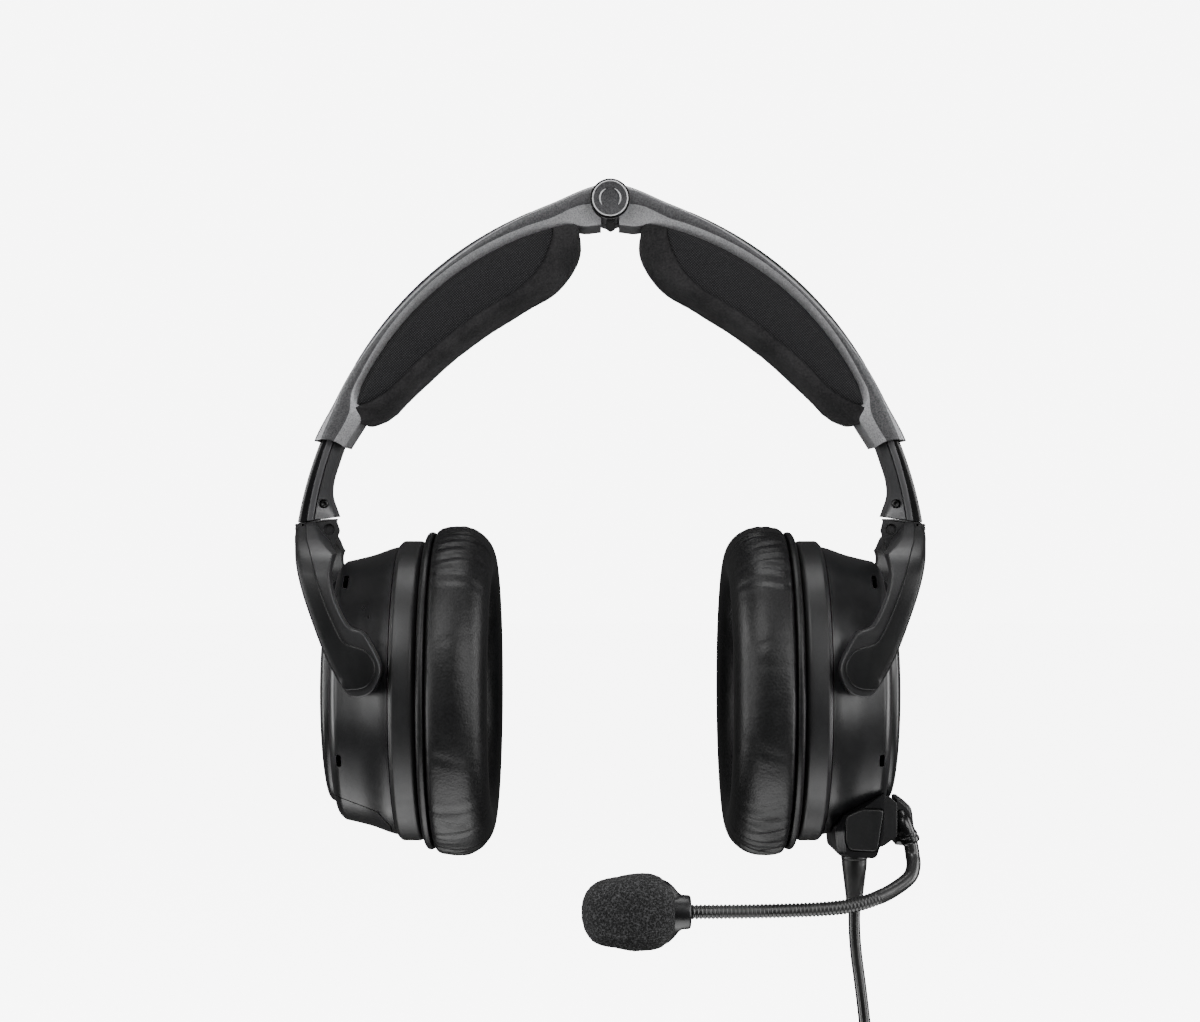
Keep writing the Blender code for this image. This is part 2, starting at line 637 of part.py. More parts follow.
def build_boom(pivot):
    """The turning base, the gooseneck and the microphone."""
    base_profile = [(0.3, 7.0), (0.9, 7.6), (5.4, 7.6), (6.6, 6.2)]
    base = pivot.place("boom_base", lathe_skin(BOOM_PIVOT, (1, 0, 0), base_profile, 28),
                       black_plastic(), in_world=True)
    elbow_from, elbow_to = Vector((95.2, -2.0, -41.8)), Vector((96.6, -6.6, -48.8))
    reach = (elbow_to - elbow_from).length
    elbow = lathe_skin(elbow_from, elbow_to - elbow_from, [(0, 3.3), (reach, 2.6)], 16)
    join(base, pivot.tool(elbow, in_world=True))
    way = (elbow_to - elbow_from).normalized()
    collar = [(0, 2.7), (2.6, 2.9), (3.5, 2.4)]
    pivot.place("boom_collar", lathe_skin(elbow_to + way * GAP, way, collar, 16), rubber(),
                in_world=True)
    cord_tube("boom_gooseneck", pivot, smooth_curve(BOOM_ROUTE, 4.2), 2 * BOOM_R, rubber())
    housing = [(0, 2.9), (1.4, 2.9), (1.4, 5.0), (6.2, 4.6), (6.2, 8.0), (8.2, 7.4)]
    toward = (-1, -0.03, 0)
    start = Vector(MIC_NECK) + Vector((1.2, 0, 0))
    pivot.place("microphone_housing", lathe_skin(start, toward, housing, 20), black_plastic(),
                in_world=True)
    screen = [(0, 9.0), (2.2, 11.6), (6, 12.1), (14, 11.5), (21, 10.0), (25, 7.6), (26.6, 3.8)]
    start = Vector(MIC_NECK) + Vector((-7.4, 0, 0))
    pivot.place("microphone_windscreen", lathe_skin(start, toward, screen, 20), foam(),
                in_world=True, sharp_deg=60)


def build_lead(cup):
    """The strain relief, the lead with its coil and tie, and the plug."""
    top = Vector((78.3, -12.0, -52.1))
    relief = [(0, 3.9), (1.2, 3.9), (14, 2.7), (16.2, 2.4)]
    cup.place("strain_relief", lathe_skin(top, (0, 0, -1), relief, 16), rubber(), in_world=True)
    run = [Vector(p) for p in CORD_ROUTE]
    run[0] = run[0] + Vector((0, 0, -GAP))
    cord_tube("lead_run", cup, smooth_curve(run, 8.0), CORD_D, rubber())
    half_row = COIL_PITCH * (len(COIL_ROW_R) - 1) / 2 + CORD_D / 2
    half_column = COIL_PITCH * (COIL_COLUMNS - 1) / 2 + CORD_D / 2
    middle = sum(COIL_ROW_R) / len(COIL_ROW_R)
    section = [(-half_column, middle - half_row + 1), (1 - half_column, middle - half_row),
               (half_column - 1, middle - half_row), (half_column, middle - half_row + 1),
               (half_column, middle + half_row - 1), (half_column - 1, middle + half_row),
               (1 - half_column, middle + half_row), (-half_column, middle + half_row - 1)]
    coil = tube_ring_skin(COIL_CENTRE, (0, 1, 0), section, 36)
    cup.place("lead_coil", coil, rubber(), in_world=True)
    build_coil_tie(cup, middle, half_row, half_column)
    build_plug(cup)


def build_coil_tie(cup, middle, half_row, half_column):
    """A hook-and-loop strap round the coil's turns, at its top."""
    cx, cy, cz = COIL_CENTRE
    rings = []
    for gap in (GAP + 0.2, GAP + 1.6):
        low, high = cz + middle - half_row - gap - 0.6, cz + middle + half_row + gap
        front, back = cy - half_column - gap, cy + half_column + gap
        outline = [(front, low), (back, low), (back, high), (front, high)]
        rings.append([(cx - 4, y, z) for y, z in outline])
        rings.append([(cx + 4, y, z) for y, z in outline])
    inner_left, inner_right, outer_left, outer_right = rings
    band = skin_of([inner_left, outer_left, outer_right, inner_right], closed=True)
    cup.place("coil_tie", band, fabric(), in_world=True)


def build_plug(cup):
    """A moulded four-conductor plug that hangs from the coil's last turn."""
    cx, cy, cz = COIL_CENTRE
    start = (cx + COIL_ROW_R[-1], cy + COIL_PITCH * (COIL_COLUMNS - 1) / 2, cz - 20.0)
    body_profile = [(0, 2.4), (12, 3.2), (13, 6.4), (15, 7.4), (34, 7.4), (36, 6.6), (37.5, 5.2)]
    cup.place("plug_body", lathe_skin(start, (0, 0, -1), body_profile, 20), rubber(), in_world=True)
    pin_start = Vector(start) + Vector((0, 0, -37.5 - GAP))
    pin = [(0, 3.55), (9, 3.55), (9.4, 3.1), (18, 3.1), (18.4, 3.55), (21, 3.3), (24, 1.4)]
    cup.place("plug_pin", lathe_skin(pin_start, (0, 0, -1), pin, 16), steel(), in_world=True)


# ---------------------------------------------------------------- assembly

def clear_scene():
    for obj in list(bpy.data.objects):
        bpy.data.objects.remove(obj, do_unlink=True)


def main():
    clear_scene()
    core = Body("hinge_core", (0, 0, HINGE_Z))
    build_hinge(core)
    for side_name, side in SIDES.items():
        centre = BAND_OUTER[0]
        band = Body(f"band_{side_name}_axis", (0, 0, HINGE_Z), side, core)
        build_band(band, f"headband_{side_name}", central_knuckle=side < 0)
        build_band_trim(band, f"headband_trim_{side_name}")
        build_head_pad(band, side_name)
        arm = Body(f"slider_{side_name}_axis", (centre[0], 0, centre[1]), side, band)
        build_arm(arm, side_name)
        yoke = Body(f"swivel_{side_name}_axis", SWIVEL, side, arm, CUP_TOE_DEG)
        build_yoke(yoke, side_name)
        cup = Body(f"tilt_{side_name}_axis", CUP_PIVOT, side, yoke)
        shell = build_cup(cup, side_name)
        if side < 0:
            build_service_cover(cup, shell)
        else:
            build_connector(cup, shell)
            pivot = Body("boom_axis", BOOM_PIVOT, side, cup)
            build_boom(pivot)
            build_lead(cup)


main()
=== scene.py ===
"""Looks of the aviation headset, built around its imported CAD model."""

import math
import random

import bmesh
import bpy
from mathutils import Matrix, Vector, noise


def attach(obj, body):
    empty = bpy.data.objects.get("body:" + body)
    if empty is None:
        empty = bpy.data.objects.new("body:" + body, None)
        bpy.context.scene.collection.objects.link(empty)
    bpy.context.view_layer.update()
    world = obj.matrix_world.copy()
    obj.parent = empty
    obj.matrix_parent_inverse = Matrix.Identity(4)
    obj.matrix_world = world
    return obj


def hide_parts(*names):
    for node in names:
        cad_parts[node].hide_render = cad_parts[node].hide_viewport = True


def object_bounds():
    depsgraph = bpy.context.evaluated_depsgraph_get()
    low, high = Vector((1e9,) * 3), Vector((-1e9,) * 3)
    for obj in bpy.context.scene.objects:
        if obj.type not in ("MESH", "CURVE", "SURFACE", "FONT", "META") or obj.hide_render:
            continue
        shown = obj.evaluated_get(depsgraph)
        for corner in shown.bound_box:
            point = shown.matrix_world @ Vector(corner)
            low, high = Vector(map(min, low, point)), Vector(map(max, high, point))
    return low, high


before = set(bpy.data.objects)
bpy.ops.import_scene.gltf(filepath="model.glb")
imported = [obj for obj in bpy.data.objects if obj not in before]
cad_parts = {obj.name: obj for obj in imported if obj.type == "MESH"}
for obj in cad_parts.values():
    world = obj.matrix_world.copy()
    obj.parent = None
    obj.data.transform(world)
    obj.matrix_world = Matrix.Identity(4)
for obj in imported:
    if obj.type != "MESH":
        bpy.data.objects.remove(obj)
CAD_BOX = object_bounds()
MM = 0.001
IN_WORLD = Matrix.Scale(MM, 4)
SIDES = (("left", -1), ("right", 1))
ENDS = (("front", -1), ("rear", 1))
WHITE = (1.0, 1.0, 1.0, 1.0)

# The design's own dimensions, in millimetres, as the CAD has them
HINGE_Z = 157.8
BAND_CENTRE = (-26.2, 37.8)
BAND_RADIUS = 127.1
BAND_HALF_WIDTH = 16.0
MOUTH = math.radians(19.0)
BAND_TOP = math.radians(76.9)
BAND_UNDER = ((-7.6, 55.5), 96.8)
BAND_CREASE = ((-6.3, 58.8), 96.4)
PAD_UNDER = ((-54.8, -22.2), 166.4)
SWIVEL = (96.8, 0.0, 54.4)
CUP_PIVOT = (77.6, 0.0, 8.2)
TOE = math.radians(2.3)
OVAL_DROP = 8.5
BOOM_R = 2.35
BOOM_ROUTE = [
    (97.3, -9.0, -52.5), (97.4, -10.9, -55.6), (95.9, -13.4, -59.0), (90.9, -16.6, -62.3),
    (85.1, -19.7, -64.7), (76.7, -24.5, -66.5), (65.9, -28.6, -67.1), (46.8, -33.0, -67.1),
    (26.4, -36.0, -66.9),
]
ELBOW_ROUTE = [
    (93.8, -2.6, -40.2), (93.9, -5.0, -40.2), (94.3, -7.5, -41.3), (95.1, -8.5, -43.8), (96.2, -8.4, -46.6),
]
MIC_NECK = Vector((24.9, -36.2, -66.9))
MIC_AXIS = (-1, -0.03, 0)
CORD_D = 3.8
CORD_EXIT = (78.3, -12.0, -68.6)
COIL_CENTRE = (58.8, -12.0, -138.5)
COIL_ROW_R = (23.4, 19.5, 15.6)
COIL_PITCH = 3.9
CORD_ROUTE = [
    (78.3, -12.0, -68.9), (78.3, -12.0, -76.0), (78.9, -12.2, -84.0), (79.9, -13.0, -92.0),
    (80.9, -14.4, -101.0), (81.8, -16.4, -111.0), (82.2, -17.85, -119.5), (82.2, -17.85, -129.0),
]

# The view and the lights, in metres and watts: name, place, height aimed at, width, height, power
CAMERA_PLACE = (-0.00325, -0.9, 0.0582)
VIEW_WIDTH = 0.39
LIGHTS = (
    ("key", (-0.35, -0.85, 0.75), 0.04, 0.45, 0.45, 6),
    ("fill", (0.55, -0.85, 0.45), 0.0, 0.45, 0.45, 4),
    ("top", (0.0, 0.1, 0.95), 0.05, 0.6, 0.6, 9),
    ("table", (0.0, -0.12, -0.75), 0.05, 0.9, 0.9, 12),
    ("flank_left", (-0.75, -0.65, 0.1), 0.0, 0.22, 0.7, 3.2),
    ("flank_right", (0.75, -0.65, 0.1), 0.0, 0.22, 0.7, 3.2),
    ("strip_left", (-0.95, -0.1, 0.1), 0.0, 0.3, 0.9, 9),
    ("strip_right", (0.95, -0.1, 0.1), 0.0, 0.3, 0.9, 9),
)


# ------------------------------------------------------------ camera, light, floor

def put_in_scene(name, data):
    made = bpy.data.objects.new(name, data)
    bpy.context.scene.collection.objects.link(made)
    return made


def set_inputs(node, **values):
    """Sets a node's sockets. An underscore in a name stands for a space."""
    for name, value in values.items():
        node.inputs[name.replace("_", " ")].default_value = value


def add_camera():
    data = bpy.data.cameras.new("camera")
    data.sensor_width = 36.0
    data.lens = data.sensor_width * -CAMERA_PLACE[1] / VIEW_WIDTH
    camera = put_in_scene("camera", data)
    camera.location = CAMERA_PLACE
    camera.rotation_euler = (math.radians(90), 0, 0)
    bpy.context.scene.camera = camera


def add_lights():
    for name, place, aim_z, wide, tall, power in LIGHTS:
        data = bpy.data.lights.new(name, "AREA")
        data.shape = "RECTANGLE"
        data.size = wide
        data.size_y = tall
        data.energy = power
        light = put_in_scene(name, data)
        light.location = place
        light.visible_camera = False
        light.rotation_euler = (Vector((0, 0, aim_z)) - Vector(place)).to_track_quat("-Z", "Y").to_euler()


def add_world():
    """A dim world for the lighting, which the camera sees as bright white."""
    world = bpy.data.worlds.new("world")
    world.use_nodes = True
    nodes, links = world.node_tree.nodes, world.node_tree.links
    lighting = nodes["Background"]
    seen = nodes.new("ShaderNodeBackground")
    set_inputs(lighting, Color=WHITE, Strength=0.1)
    set_inputs(seen, Color=WHITE, Strength=7.5)
    path = nodes.new("ShaderNodeLightPath")
    mix = nodes.new("ShaderNodeMixShader")
    links.new(path.outputs["Is Camera Ray"], mix.inputs["Fac"])
    links.new(lighting.outputs["Background"], mix.inputs[1])
    links.new(seen.outputs["Background"], mix.inputs[2])
    links.new(mix.outputs["Shader"], nodes["World Output"].inputs["Surface"])
    bpy.context.scene.world = world


def add_floor():
    half, z = 6, CAD_BOX[0].z - 0.0008
    corners = [(-half, -half, z), (half, -half, z), (half, half, z), (-half, half, z)]
    mesh = bpy.data.meshes.new("floor")
    mesh.from_pydata(corners, [], [(0, 1, 2, 3)])
    floor = put_in_scene("floor", mesh)
    pale = bpy.data.materials.new("pale_floor")
    pale.use_nodes = True
    set_inputs(pale.node_tree.nodes["Principled BSDF"], Base_Color=(0.9, 0.9, 0.9, 1.0), Roughness=0.9,
               Emission_Color=WHITE, Emission_Strength=7.2)
    mesh.materials.append(pale)
    floor.visible_diffuse = False
    floor.visible_glossy = False


# ------------------------------------------------------------ geometry helpers

def side_place(side, toed):
    """The matrix from a half's own design frame, in millimetres, to the world, in metres."""
    turn = Matrix.Identity(4)
    if toed:
        at = Vector((side * SWIVEL[0], SWIVEL[1], SWIVEL[2]))
        turn = Matrix.Translation(at) @ Matrix.Rotation(side * TOE, 4, "Z") @ Matrix.Translation(-at)
    return IN_WORLD @ turn @ Matrix.Diagonal((side, 1, 1, 1))


def new_piece(name, skin, place, look, body=None, replaces=(), bevel=0.0):
    """A mesh piece from points in millimetres, welded, turned outward and put on its body."""
    verts, faces = skin
    mesh = bpy.data.meshes.new(name)
    mesh.from_pydata([place @ Vector(v) for v in verts], [], faces)
    shape = bmesh.new()
    shape.from_mesh(mesh)
    bmesh.ops.remove_doubles(shape, verts=shape.verts, dist=1e-6)
    bmesh.ops.recalc_face_normals(shape, faces=shape.faces)
    shape.to_mesh(mesh)
    shape.free()
    mesh.shade_smooth()
    for each in look if isinstance(look, (list, tuple)) else [look]:
        mesh.materials.append(each)
    made = put_in_scene(name, mesh)
    if bevel:
        add_bevel(made, bevel)
    if body:
        settle(made, body, replaces)
    return made


def settle(piece, body, replaces):
    """Puts a finished piece on its body, in the stead of CAD nodes."""
    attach(piece, body)
    if replaces:
        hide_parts(*replaces)


def add_bevel(obj, width, segments=3, angle=32.0):
    step = obj.modifiers.new("edges", "BEVEL")
    step.width = width * MM
    step.segments = segments
    step.limit_method = "ANGLE"
    step.angle_limit = math.radians(angle)
    step.harden_normals = True
    step.use_clamp_overlap = True


def cut_with(obj, skin, place, operation="DIFFERENCE", finish=0):
    """Cuts a closed skin from a piece, or joins it. finish is the cut faces' material index."""
    tool = new_piece(obj.name + "_tool", skin, place, list(obj.data.materials))
    for polygon in tool.data.polygons:
        polygon.material_index = finish
    step = obj.modifiers.new("cut", "BOOLEAN")
    step.operation = operation
    step.object = tool
    bpy.context.view_layer.update()
    graph = bpy.context.evaluated_depsgraph_get()
    result = bpy.data.meshes.new_from_object(obj.evaluated_get(graph))
    obj.modifiers.remove(step)
    result.name = obj.data.name
    obj.data = result
    bpy.data.objects.remove(tool)


def skin_of(rings, closed=False):
    """Points and faces of a surface through equal rings, with its ends capped or joined."""
    count = len(rings[0])
    verts = [tuple(point) for ring in rings for point in ring]
    faces = []
    for i in range(len(rings) if closed else len(rings) - 1):
        here = i * count
        there = (i + 1) % len(rings) * count
        for j in range(count):
            k = (j + 1) % count
            faces.append((here + j, here + k, there + k, there + j))
    if not closed:
        faces.append(tuple(range(count)))
        faces.append(tuple((len(rings) - 1) * count + j for j in range(count)))
    return verts, faces


def full_turn(count):
    return [2 * math.pi * i / count for i in range(count)]


def circle(centre, across, other, radius, count):
    return [centre + (across * math.cos(a) + other * math.sin(a)) * radius for a in full_turn(count)]


def oval_skin(profile, count=128, closed=True):
    """A ring about X: each (x, half height, own drop) of the profile is an oval."""
    rings = []
    for x, half_height, *own in profile:
        half_depth = half_height - (own[0] if own else OVAL_DROP)
        rings.append([(x, half_depth * math.cos(a), half_height * math.sin(a)) for a in full_turn(count)])
    return skin_of(rings, closed)


def lathe_skin(start, direction, profile, count=48):
    """A solid turned about a line: each (distance along it, radius) of the profile is a circle."""
    axis = Vector(direction).normalized()
    across = axis.orthogonal().normalized()
    other = axis.cross(across)
    rings = []
    for along, radius in profile:
        centre = Vector(start) + axis * along
        rings.append(circle(centre, across, other, radius, count))
    return skin_of(rings)


def rod_skin(start, direction, radius, length, count):
    return lathe_skin(start, direction, [(0, radius), (length, radius)], count)


def stacked_skin(stations):
    """A solid through upright outlines, (y, [(x, z), ...]), one behind the other."""
    return skin_of([[(x, y, z) for x, z in outline] for y, outline in stations])


def prism_skin(outline, y_low, y_high):
    return stacked_skin([(y_low, outline), (y_high, outline)])


def fillet(corners, radii, steps=4, closed=True):
    """A flat outline with its corners rounded, by one radius or one each, and a fixed point count."""
    if isinstance(radii, float):
        radii = [radii] * len(corners)
    points = [Vector(corner) for corner in corners]
    made = []
    for i, (here, radius) in enumerate(zip(points, radii)):
        if not closed and i in (0, len(points) - 1):
            made.append(tuple(here))
            continue
        back = points[i - 1] - here
        ahead = points[(i + 1) % len(points)] - here
        reach = min(radius, back.length * 0.48, ahead.length * 0.48)
        start = here + back.normalized() * reach
        end = here + ahead.normalized() * reach
        for n in range(steps + 1):
            t = n / steps
            made.append(tuple(start * (1 - t) ** 2 + here * 2 * t * (1 - t) + end * t * t))
    return made


def rounded_profile(corners, radius, steps=3):
    """A turned profile with every corner between its ends rounded."""
    return fillet(corners, radius, steps, closed=False)


def smooth(t):
    """0 up to t = 0, 1 from t = 1, and an S curve between."""
    t = min(max(t, 0.0), 1.0)
    return t * t * (3 - 2 * t)


def between(a, b, share):
    return a + (b - a) * share


def spline(route, per_span=12):
    """A smooth curve through points of any dimension."""
    points = [Vector(p) for p in route]
    padded = [2 * points[0] - points[1], *points, 2 * points[-1] - points[-2]]
    made = []
    for p0, p1, p2, p3 in zip(padded, padded[1:], padded[2:], padded[3:]):
        for n in range(per_span):
            t = n / per_span
            made.append(0.5 * (2 * p1 + (p2 - p0) * t + (2 * p0 - 5 * p1 + 4 * p2 - p3) * t * t
                               + (3 * p1 - p0 - 3 * p2 + p3) * t ** 3))
    return made + points[-1:]


def evenly(points, spacing):
    """The same curve with points at an even spacing."""
    lengths = [0.0]
    for a, b in zip(points, points[1:]):
        lengths.append(lengths[-1] + (b - a).length)
    count = max(2, round(lengths[-1] / spacing))
    made = []
    k = 0
    for n in range(count + 1):
        want = lengths[-1] * n / count
        while k < len(lengths) - 2 and lengths[k + 1] < want:
            k += 1
        t = (want - lengths[k]) / max(lengths[k + 1] - lengths[k], 1e-9)
        made.append(points[k].lerp(points[k + 1], t))
    return made


def on_arc(centre, radius, angle, y=0.0):
    return (centre[0] + radius * math.cos(angle), y, centre[1] + radius * math.sin(angle))


def inward_distance(point, angle, arc):
    """How far a point is from an arc, measured towards the arc's centre at an angle."""
    (cx, cz), radius = arc
    dx, dz = point[0] - cx, point[2] - cz
    along = dx * math.cos(angle) + dz * math.sin(angle)
    return along - math.sqrt(along * along - (dx * dx + dz * dz - radius * radius))


def tube_rings(points, radii, count):
    """Rings round a path, without twist."""
    rings = []
    normal = None
    for i, (point, radius) in enumerate(zip(points, radii)):
        along = (points[min(i + 1, len(points) - 1)] - points[max(i - 1, 0)]).normalized()
        if normal is None:
            normal = along.orthogonal().normalized()
        normal = (normal - along * normal.dot(along)).normalized()
        other = along.cross(normal)
        rings.append(circle(point, normal, other, radius, count))
    return rings


# ------------------------------------------------------------ materials

class Look:
    """A Principled material whose colour, roughness and bump come from procedural patterns."""

    def __init__(self, name, roughness=0.5, metallic=0.0):
        self.material = bpy.data.materials.new(name)
        self.material.use_nodes = True
        self.tree = self.material.node_tree
        self.shader = self.tree.nodes["Principled BSDF"]
        self.set(Roughness=roughness, Metallic=metallic)
        self.place = self.tree.nodes.new("ShaderNodeTexCoord").outputs["Object"]
        self.normal = None

    def set(self, **values):
        set_inputs(self.shader, **values)

    def node(self, kind, source, **values):
        """A node whose Vector, Value, Fac or Height socket is fed by a source."""
        made = self.tree.nodes.new("ShaderNode" + kind)
        set_inputs(made, **values)
        entry = next(s for s in made.inputs if s.name in ("Vector", "Value", "Fac", "Height"))
        self.tree.links.new(source, entry)
        return made

    def mapped(self, scale=(1, 1, 1), turn=(0, 0, 0)):
        turned = [math.radians(a) for a in turn]
        return self.node("Mapping", self.place, Scale=scale, Rotation=turned).outputs["Vector"]

    def noise(self, scale, detail=3.0, place=None, roughness=0.55):
        made = self.node("TexNoise", place or self.place, Scale=scale, Detail=detail, Roughness=roughness)
        return made.outputs["Fac"]

    def cells(self, scale, feature="F1"):
        made = self.node("TexVoronoi", self.place)
        made.feature = feature
        set_inputs(made, Scale=scale)
        return made.outputs["Distance"]

    def bands(self, period, place=None, direction="X", wobble=0.0):
        made = self.node("TexWave", place or self.place, Scale=math.pi / 10 / period, Distortion=wobble)
        made.bands_direction = direction
        return made.outputs["Fac"]

    def math(self, kind, a, b):
        made = self.tree.nodes.new("ShaderNodeMath")
        made.operation = kind
        for socket, value in zip(made.inputs, (a, b)):
            if isinstance(value, (int, float)):
                socket.default_value = value
            else:
                self.tree.links.new(value, socket)
        return made.outputs["Value"]

    def mix(self, a, share_a, b, share_b):
        return self.math("ADD", self.math("MULTIPLY", a, share_a), self.math("MULTIPLY", b, share_b))

    def spread(self, value, low, high, out_low, out_high):
        made = self.node("MapRange", value, From_Min=low, From_Max=high, To_Min=out_low, To_Max=out_high)
        return made.outputs["Result"]

    def colour(self, value, low, high, dark, light):
        made = self.node("ValToRGB", value)
        for stop, position, colour in zip(made.color_ramp.elements, (low, high), (dark, light)):
            stop.position = position
            stop.color = (*colour, 1.0)
        self.tree.links.new(made.outputs["Color"], self.shader.inputs["Base Color"])

    def rough(self, value, low, high, smoothest, roughest):
        level = self.spread(value, low, high, smoothest, roughest)
        self.tree.links.new(level, self.shader.inputs["Roughness"])

    def bump(self, height, strength, depth_mm):
        made = self.node("Bump", height, Strength=strength, Distance=depth_mm * MM)
        if self.normal is not None:
            self.tree.links.new(self.normal, made.inputs["Normal"])
        self.normal = made.outputs["Normal"]
        self.tree.links.new(self.normal, self.shader.inputs["Normal"])


def moulded(name, dark, light, smoothest, roughest, grain, specular):
    """Moulded plastic: fine spark-eroded grain, faint mottling and slight handling marks."""
    look = Look(name)
    mottle = look.noise(45.0, 4.0)
    fine = look.noise(1000 / 0.3, 2.0)
    look.colour(look.mix(mottle, 0.6, fine, 0.4), 0.35, 0.65, dark, light)
    scuff = look.noise(260.0, 6.0, look.mapped((1.0, 1.0, 0.25)))
    look.rough(look.mix(mottle, 0.5, scuff, 0.5), 0.35, 0.65, smoothest, roughest)
    look.bump(fine, grain, 0.05)
    look.set(Specular_IOR_Level=specular)
    return look.material


def powder_coat(name, dark, light):
    """Cast metal under a fine grey powder coat with bright specks."""
    look = Look(name, metallic=0.3)
    fine = look.noise(2600.0, 2.0, roughness=0.7)
    speck = look.cells(2200.0)
    mixed = look.mix(fine, 0.8, speck, 0.35)
    look.colour(mixed, 0.4, 0.74, dark, light)
    look.rough(look.noise(60.0, 4.0), 0.3, 0.7, 0.42, 0.58)
    look.bump(mixed, 0.45, 0.09)
    return look.material


def brushed_steel():
    look = Look("brushed_steel", metallic=1.0)
    lines = look.noise(900.0, 3.0, look.mapped((1.0, 0.04, 1.0)))
    look.colour(lines, 0.3, 0.7, (0.36, 0.36, 0.37), (0.62, 0.62, 0.63))
    look.rough(lines, 0.3, 0.7, 0.22, 0.4)
    look.bump(lines, 0.15, 0.03)
    return look.material


def protein_leather():
    """Soft black leather: small cells in the grain, fine crackle and a mild satin."""
    look = Look("protein_leather")
    warped = look.noise(500.0, 2.0)
    cell = look.cells(1350.0, "SMOOTH_F1")
    fold = look.noise(140.0, 5.0, look.mapped((1.0, 1.0, 0.6)))
    height = look.mix(cell, 0.8, warped, 0.5)
    look.colour(look.mix(fold, 0.4, cell, 0.6), 0.3, 0.62, (0.0018, 0.0018, 0.002), (0.006, 0.006, 0.0065))
    look.rough(fold, 0.35, 0.65, 0.4, 0.47)
    look.bump(fold, 0.06, 0.2)
    look.bump(height, 0.6, 0.12)
    look.set(Specular_IOR_Level=0.34)
    return look.material


def knit():
    """Fine diagonal knit of the headband pads' side panels."""
    look = Look("charcoal_knit", roughness=0.95)
    slanted = [look.mapped((1, 0.3, 1), (0, slant, 0)) for slant in (42, -48)]
    weave = look.math("MULTIPLY", *[look.bands(0.00062, place, "X", 0.6) for place in slanted])
    fuzz = look.noise(2400.0, 3.0)
    look.colour(look.mix(weave, 0.75, fuzz, 0.3), 0.1, 0.75, (0.0025, 0.0025, 0.003), (0.034, 0.034, 0.036))
    look.bump(weave, 0.9, 0.18)
    look.bump(fuzz, 0.3, 0.06)
    look.set(Sheen_Weight=0.05, Sheen_Roughness=0.5, Specular_IOR_Level=0.25)
    return look.material


def suede():
    """Brushed fabric of the pads' lower panels."""
    look = Look("brushed_fabric", roughness=1.0)
    nap = look.noise(1500.0, 5.0, roughness=0.75)
    patch = look.noise(90.0, 4.0)
    look.colour(look.mix(nap, 0.55, patch, 0.45), 0.34, 0.66, (0.004, 0.004, 0.0045), (0.034, 0.033, 0.034))
    look.bump(nap, 0.8, 0.2)
    look.set(Sheen_Weight=0.06, Sheen_Roughness=0.5, Specular_IOR_Level=0.2)
    return look.material


def open_foam():
    look = Look("open_cell_foam", roughness=1.0)
    pore = look.cells(1500.0)
    fine = look.cells(2600.0)
    height = look.mix(pore, 0.8, fine, 0.35)
    # Colour: painted shade in the middles of the pores and painted glints on the cell walls
    look.colour(height, 0.5, 0.95, (0.0015, 0.0015, 0.0017), (0.05, 0.05, 0.052))
    look.bump(height, 0.9, 0.45)
    return look.material


def cable_jacket(name, smoothest, roughest, level):
    """Smooth black rubber or vinyl, very slightly grained."""
    look = Look(name)
    slow = look.noise(70.0, 3.0)
    fine = look.noise(2200.0, 2.0)
    look.colour(slow, 0.3, 0.7, (level * 0.75,) * 3, (level * 1.5,) * 3)
    look.rough(slow, 0.3, 0.7, smoothest, roughest)
    look.bump(fine, 0.12, 0.03)
    return look.material


def woven(name, period, dark, light):
    """Plain woven cloth: an over and under of warp and weft."""
    look = Look(name, roughness=0.9)
    warp, weft, deep = [look.bands(period, None, direction, 0.2) for direction in "XZY"]
    weave = look.math("MULTIPLY", look.math("MAXIMUM", warp, weft), look.spread(deep, 0.0, 1.0, 0.6, 1.0))
    look.colour(weave, 0.3, 1.0, dark, light)
    look.bump(weave, 0.7, 0.12)
    return look.material


def solder_mask():
    look = Look("solder_mask", roughness=0.35)
    traces = look.bands(0.0016, None, "Z", 2.5)
    look.colour(traces, 0.45, 0.6, (0.008, 0.06, 0.022), (0.015, 0.11, 0.04))
    look.bump(traces, 0.4, 0.05)
    return look.material


PLASTICS = {
    # key: name, dark and light colour, smoothest and roughest, grain, specular level
    # The rim look is painted highlight and painted reflection, for the hinge caps' rim ring and recess arcs
    "rim": ("painted_highlight_plastic", (0.42, 0.42, 0.43), (0.62, 0.62, 0.63), 0.25, 0.4, 0.1, 0.5),
    "steel_dark": ("blackened_steel", (0.008, 0.008, 0.008), (0.02, 0.02, 0.021), 0.3, 0.42, 0.25, 0.5),
    "shell": ("cup_shell_plastic", (0.0055, 0.0055, 0.006), (0.013, 0.013, 0.014), 0.27, 0.36, 0.25, 0.5),
    "bezel": ("bezel_plastic", (0.008, 0.008, 0.0085), (0.017, 0.017, 0.018), 0.38, 0.48, 0.25, 0.4),
    "panel": ("panel_plastic", (0.004, 0.004, 0.0043), (0.01, 0.01, 0.0105), 0.4, 0.5, 0.25, 0.35),
    "yoke": ("yoke_plastic", (0.002, 0.002, 0.0022), (0.006, 0.006, 0.0065), 0.4, 0.5, 0.25, 0.3),
    "ledge": ("yoke_ledge_plastic", (0.01, 0.01, 0.0105), (0.02, 0.02, 0.021), 0.4, 0.5, 0.25, 0.4),
    "gloss": ("gloss_black_plastic", (0.0015, 0.0015, 0.0017), (0.004, 0.004, 0.0045), 0.22, 0.3, 0.05, 0.5),
    "grey": ("arm_grey_plastic", (0.035, 0.035, 0.037), (0.06, 0.06, 0.063), 0.36, 0.46, 0.25, 0.5),
    "satin": ("satin_grey_plastic", (0.036, 0.036, 0.038), (0.066, 0.066, 0.069), 0.3, 0.38, 0.25, 0.5),
    "block": ("connector_plastic", (0.004, 0.004, 0.0045), (0.011, 0.011, 0.012), 0.28, 0.4, 0.25, 0.4),
}


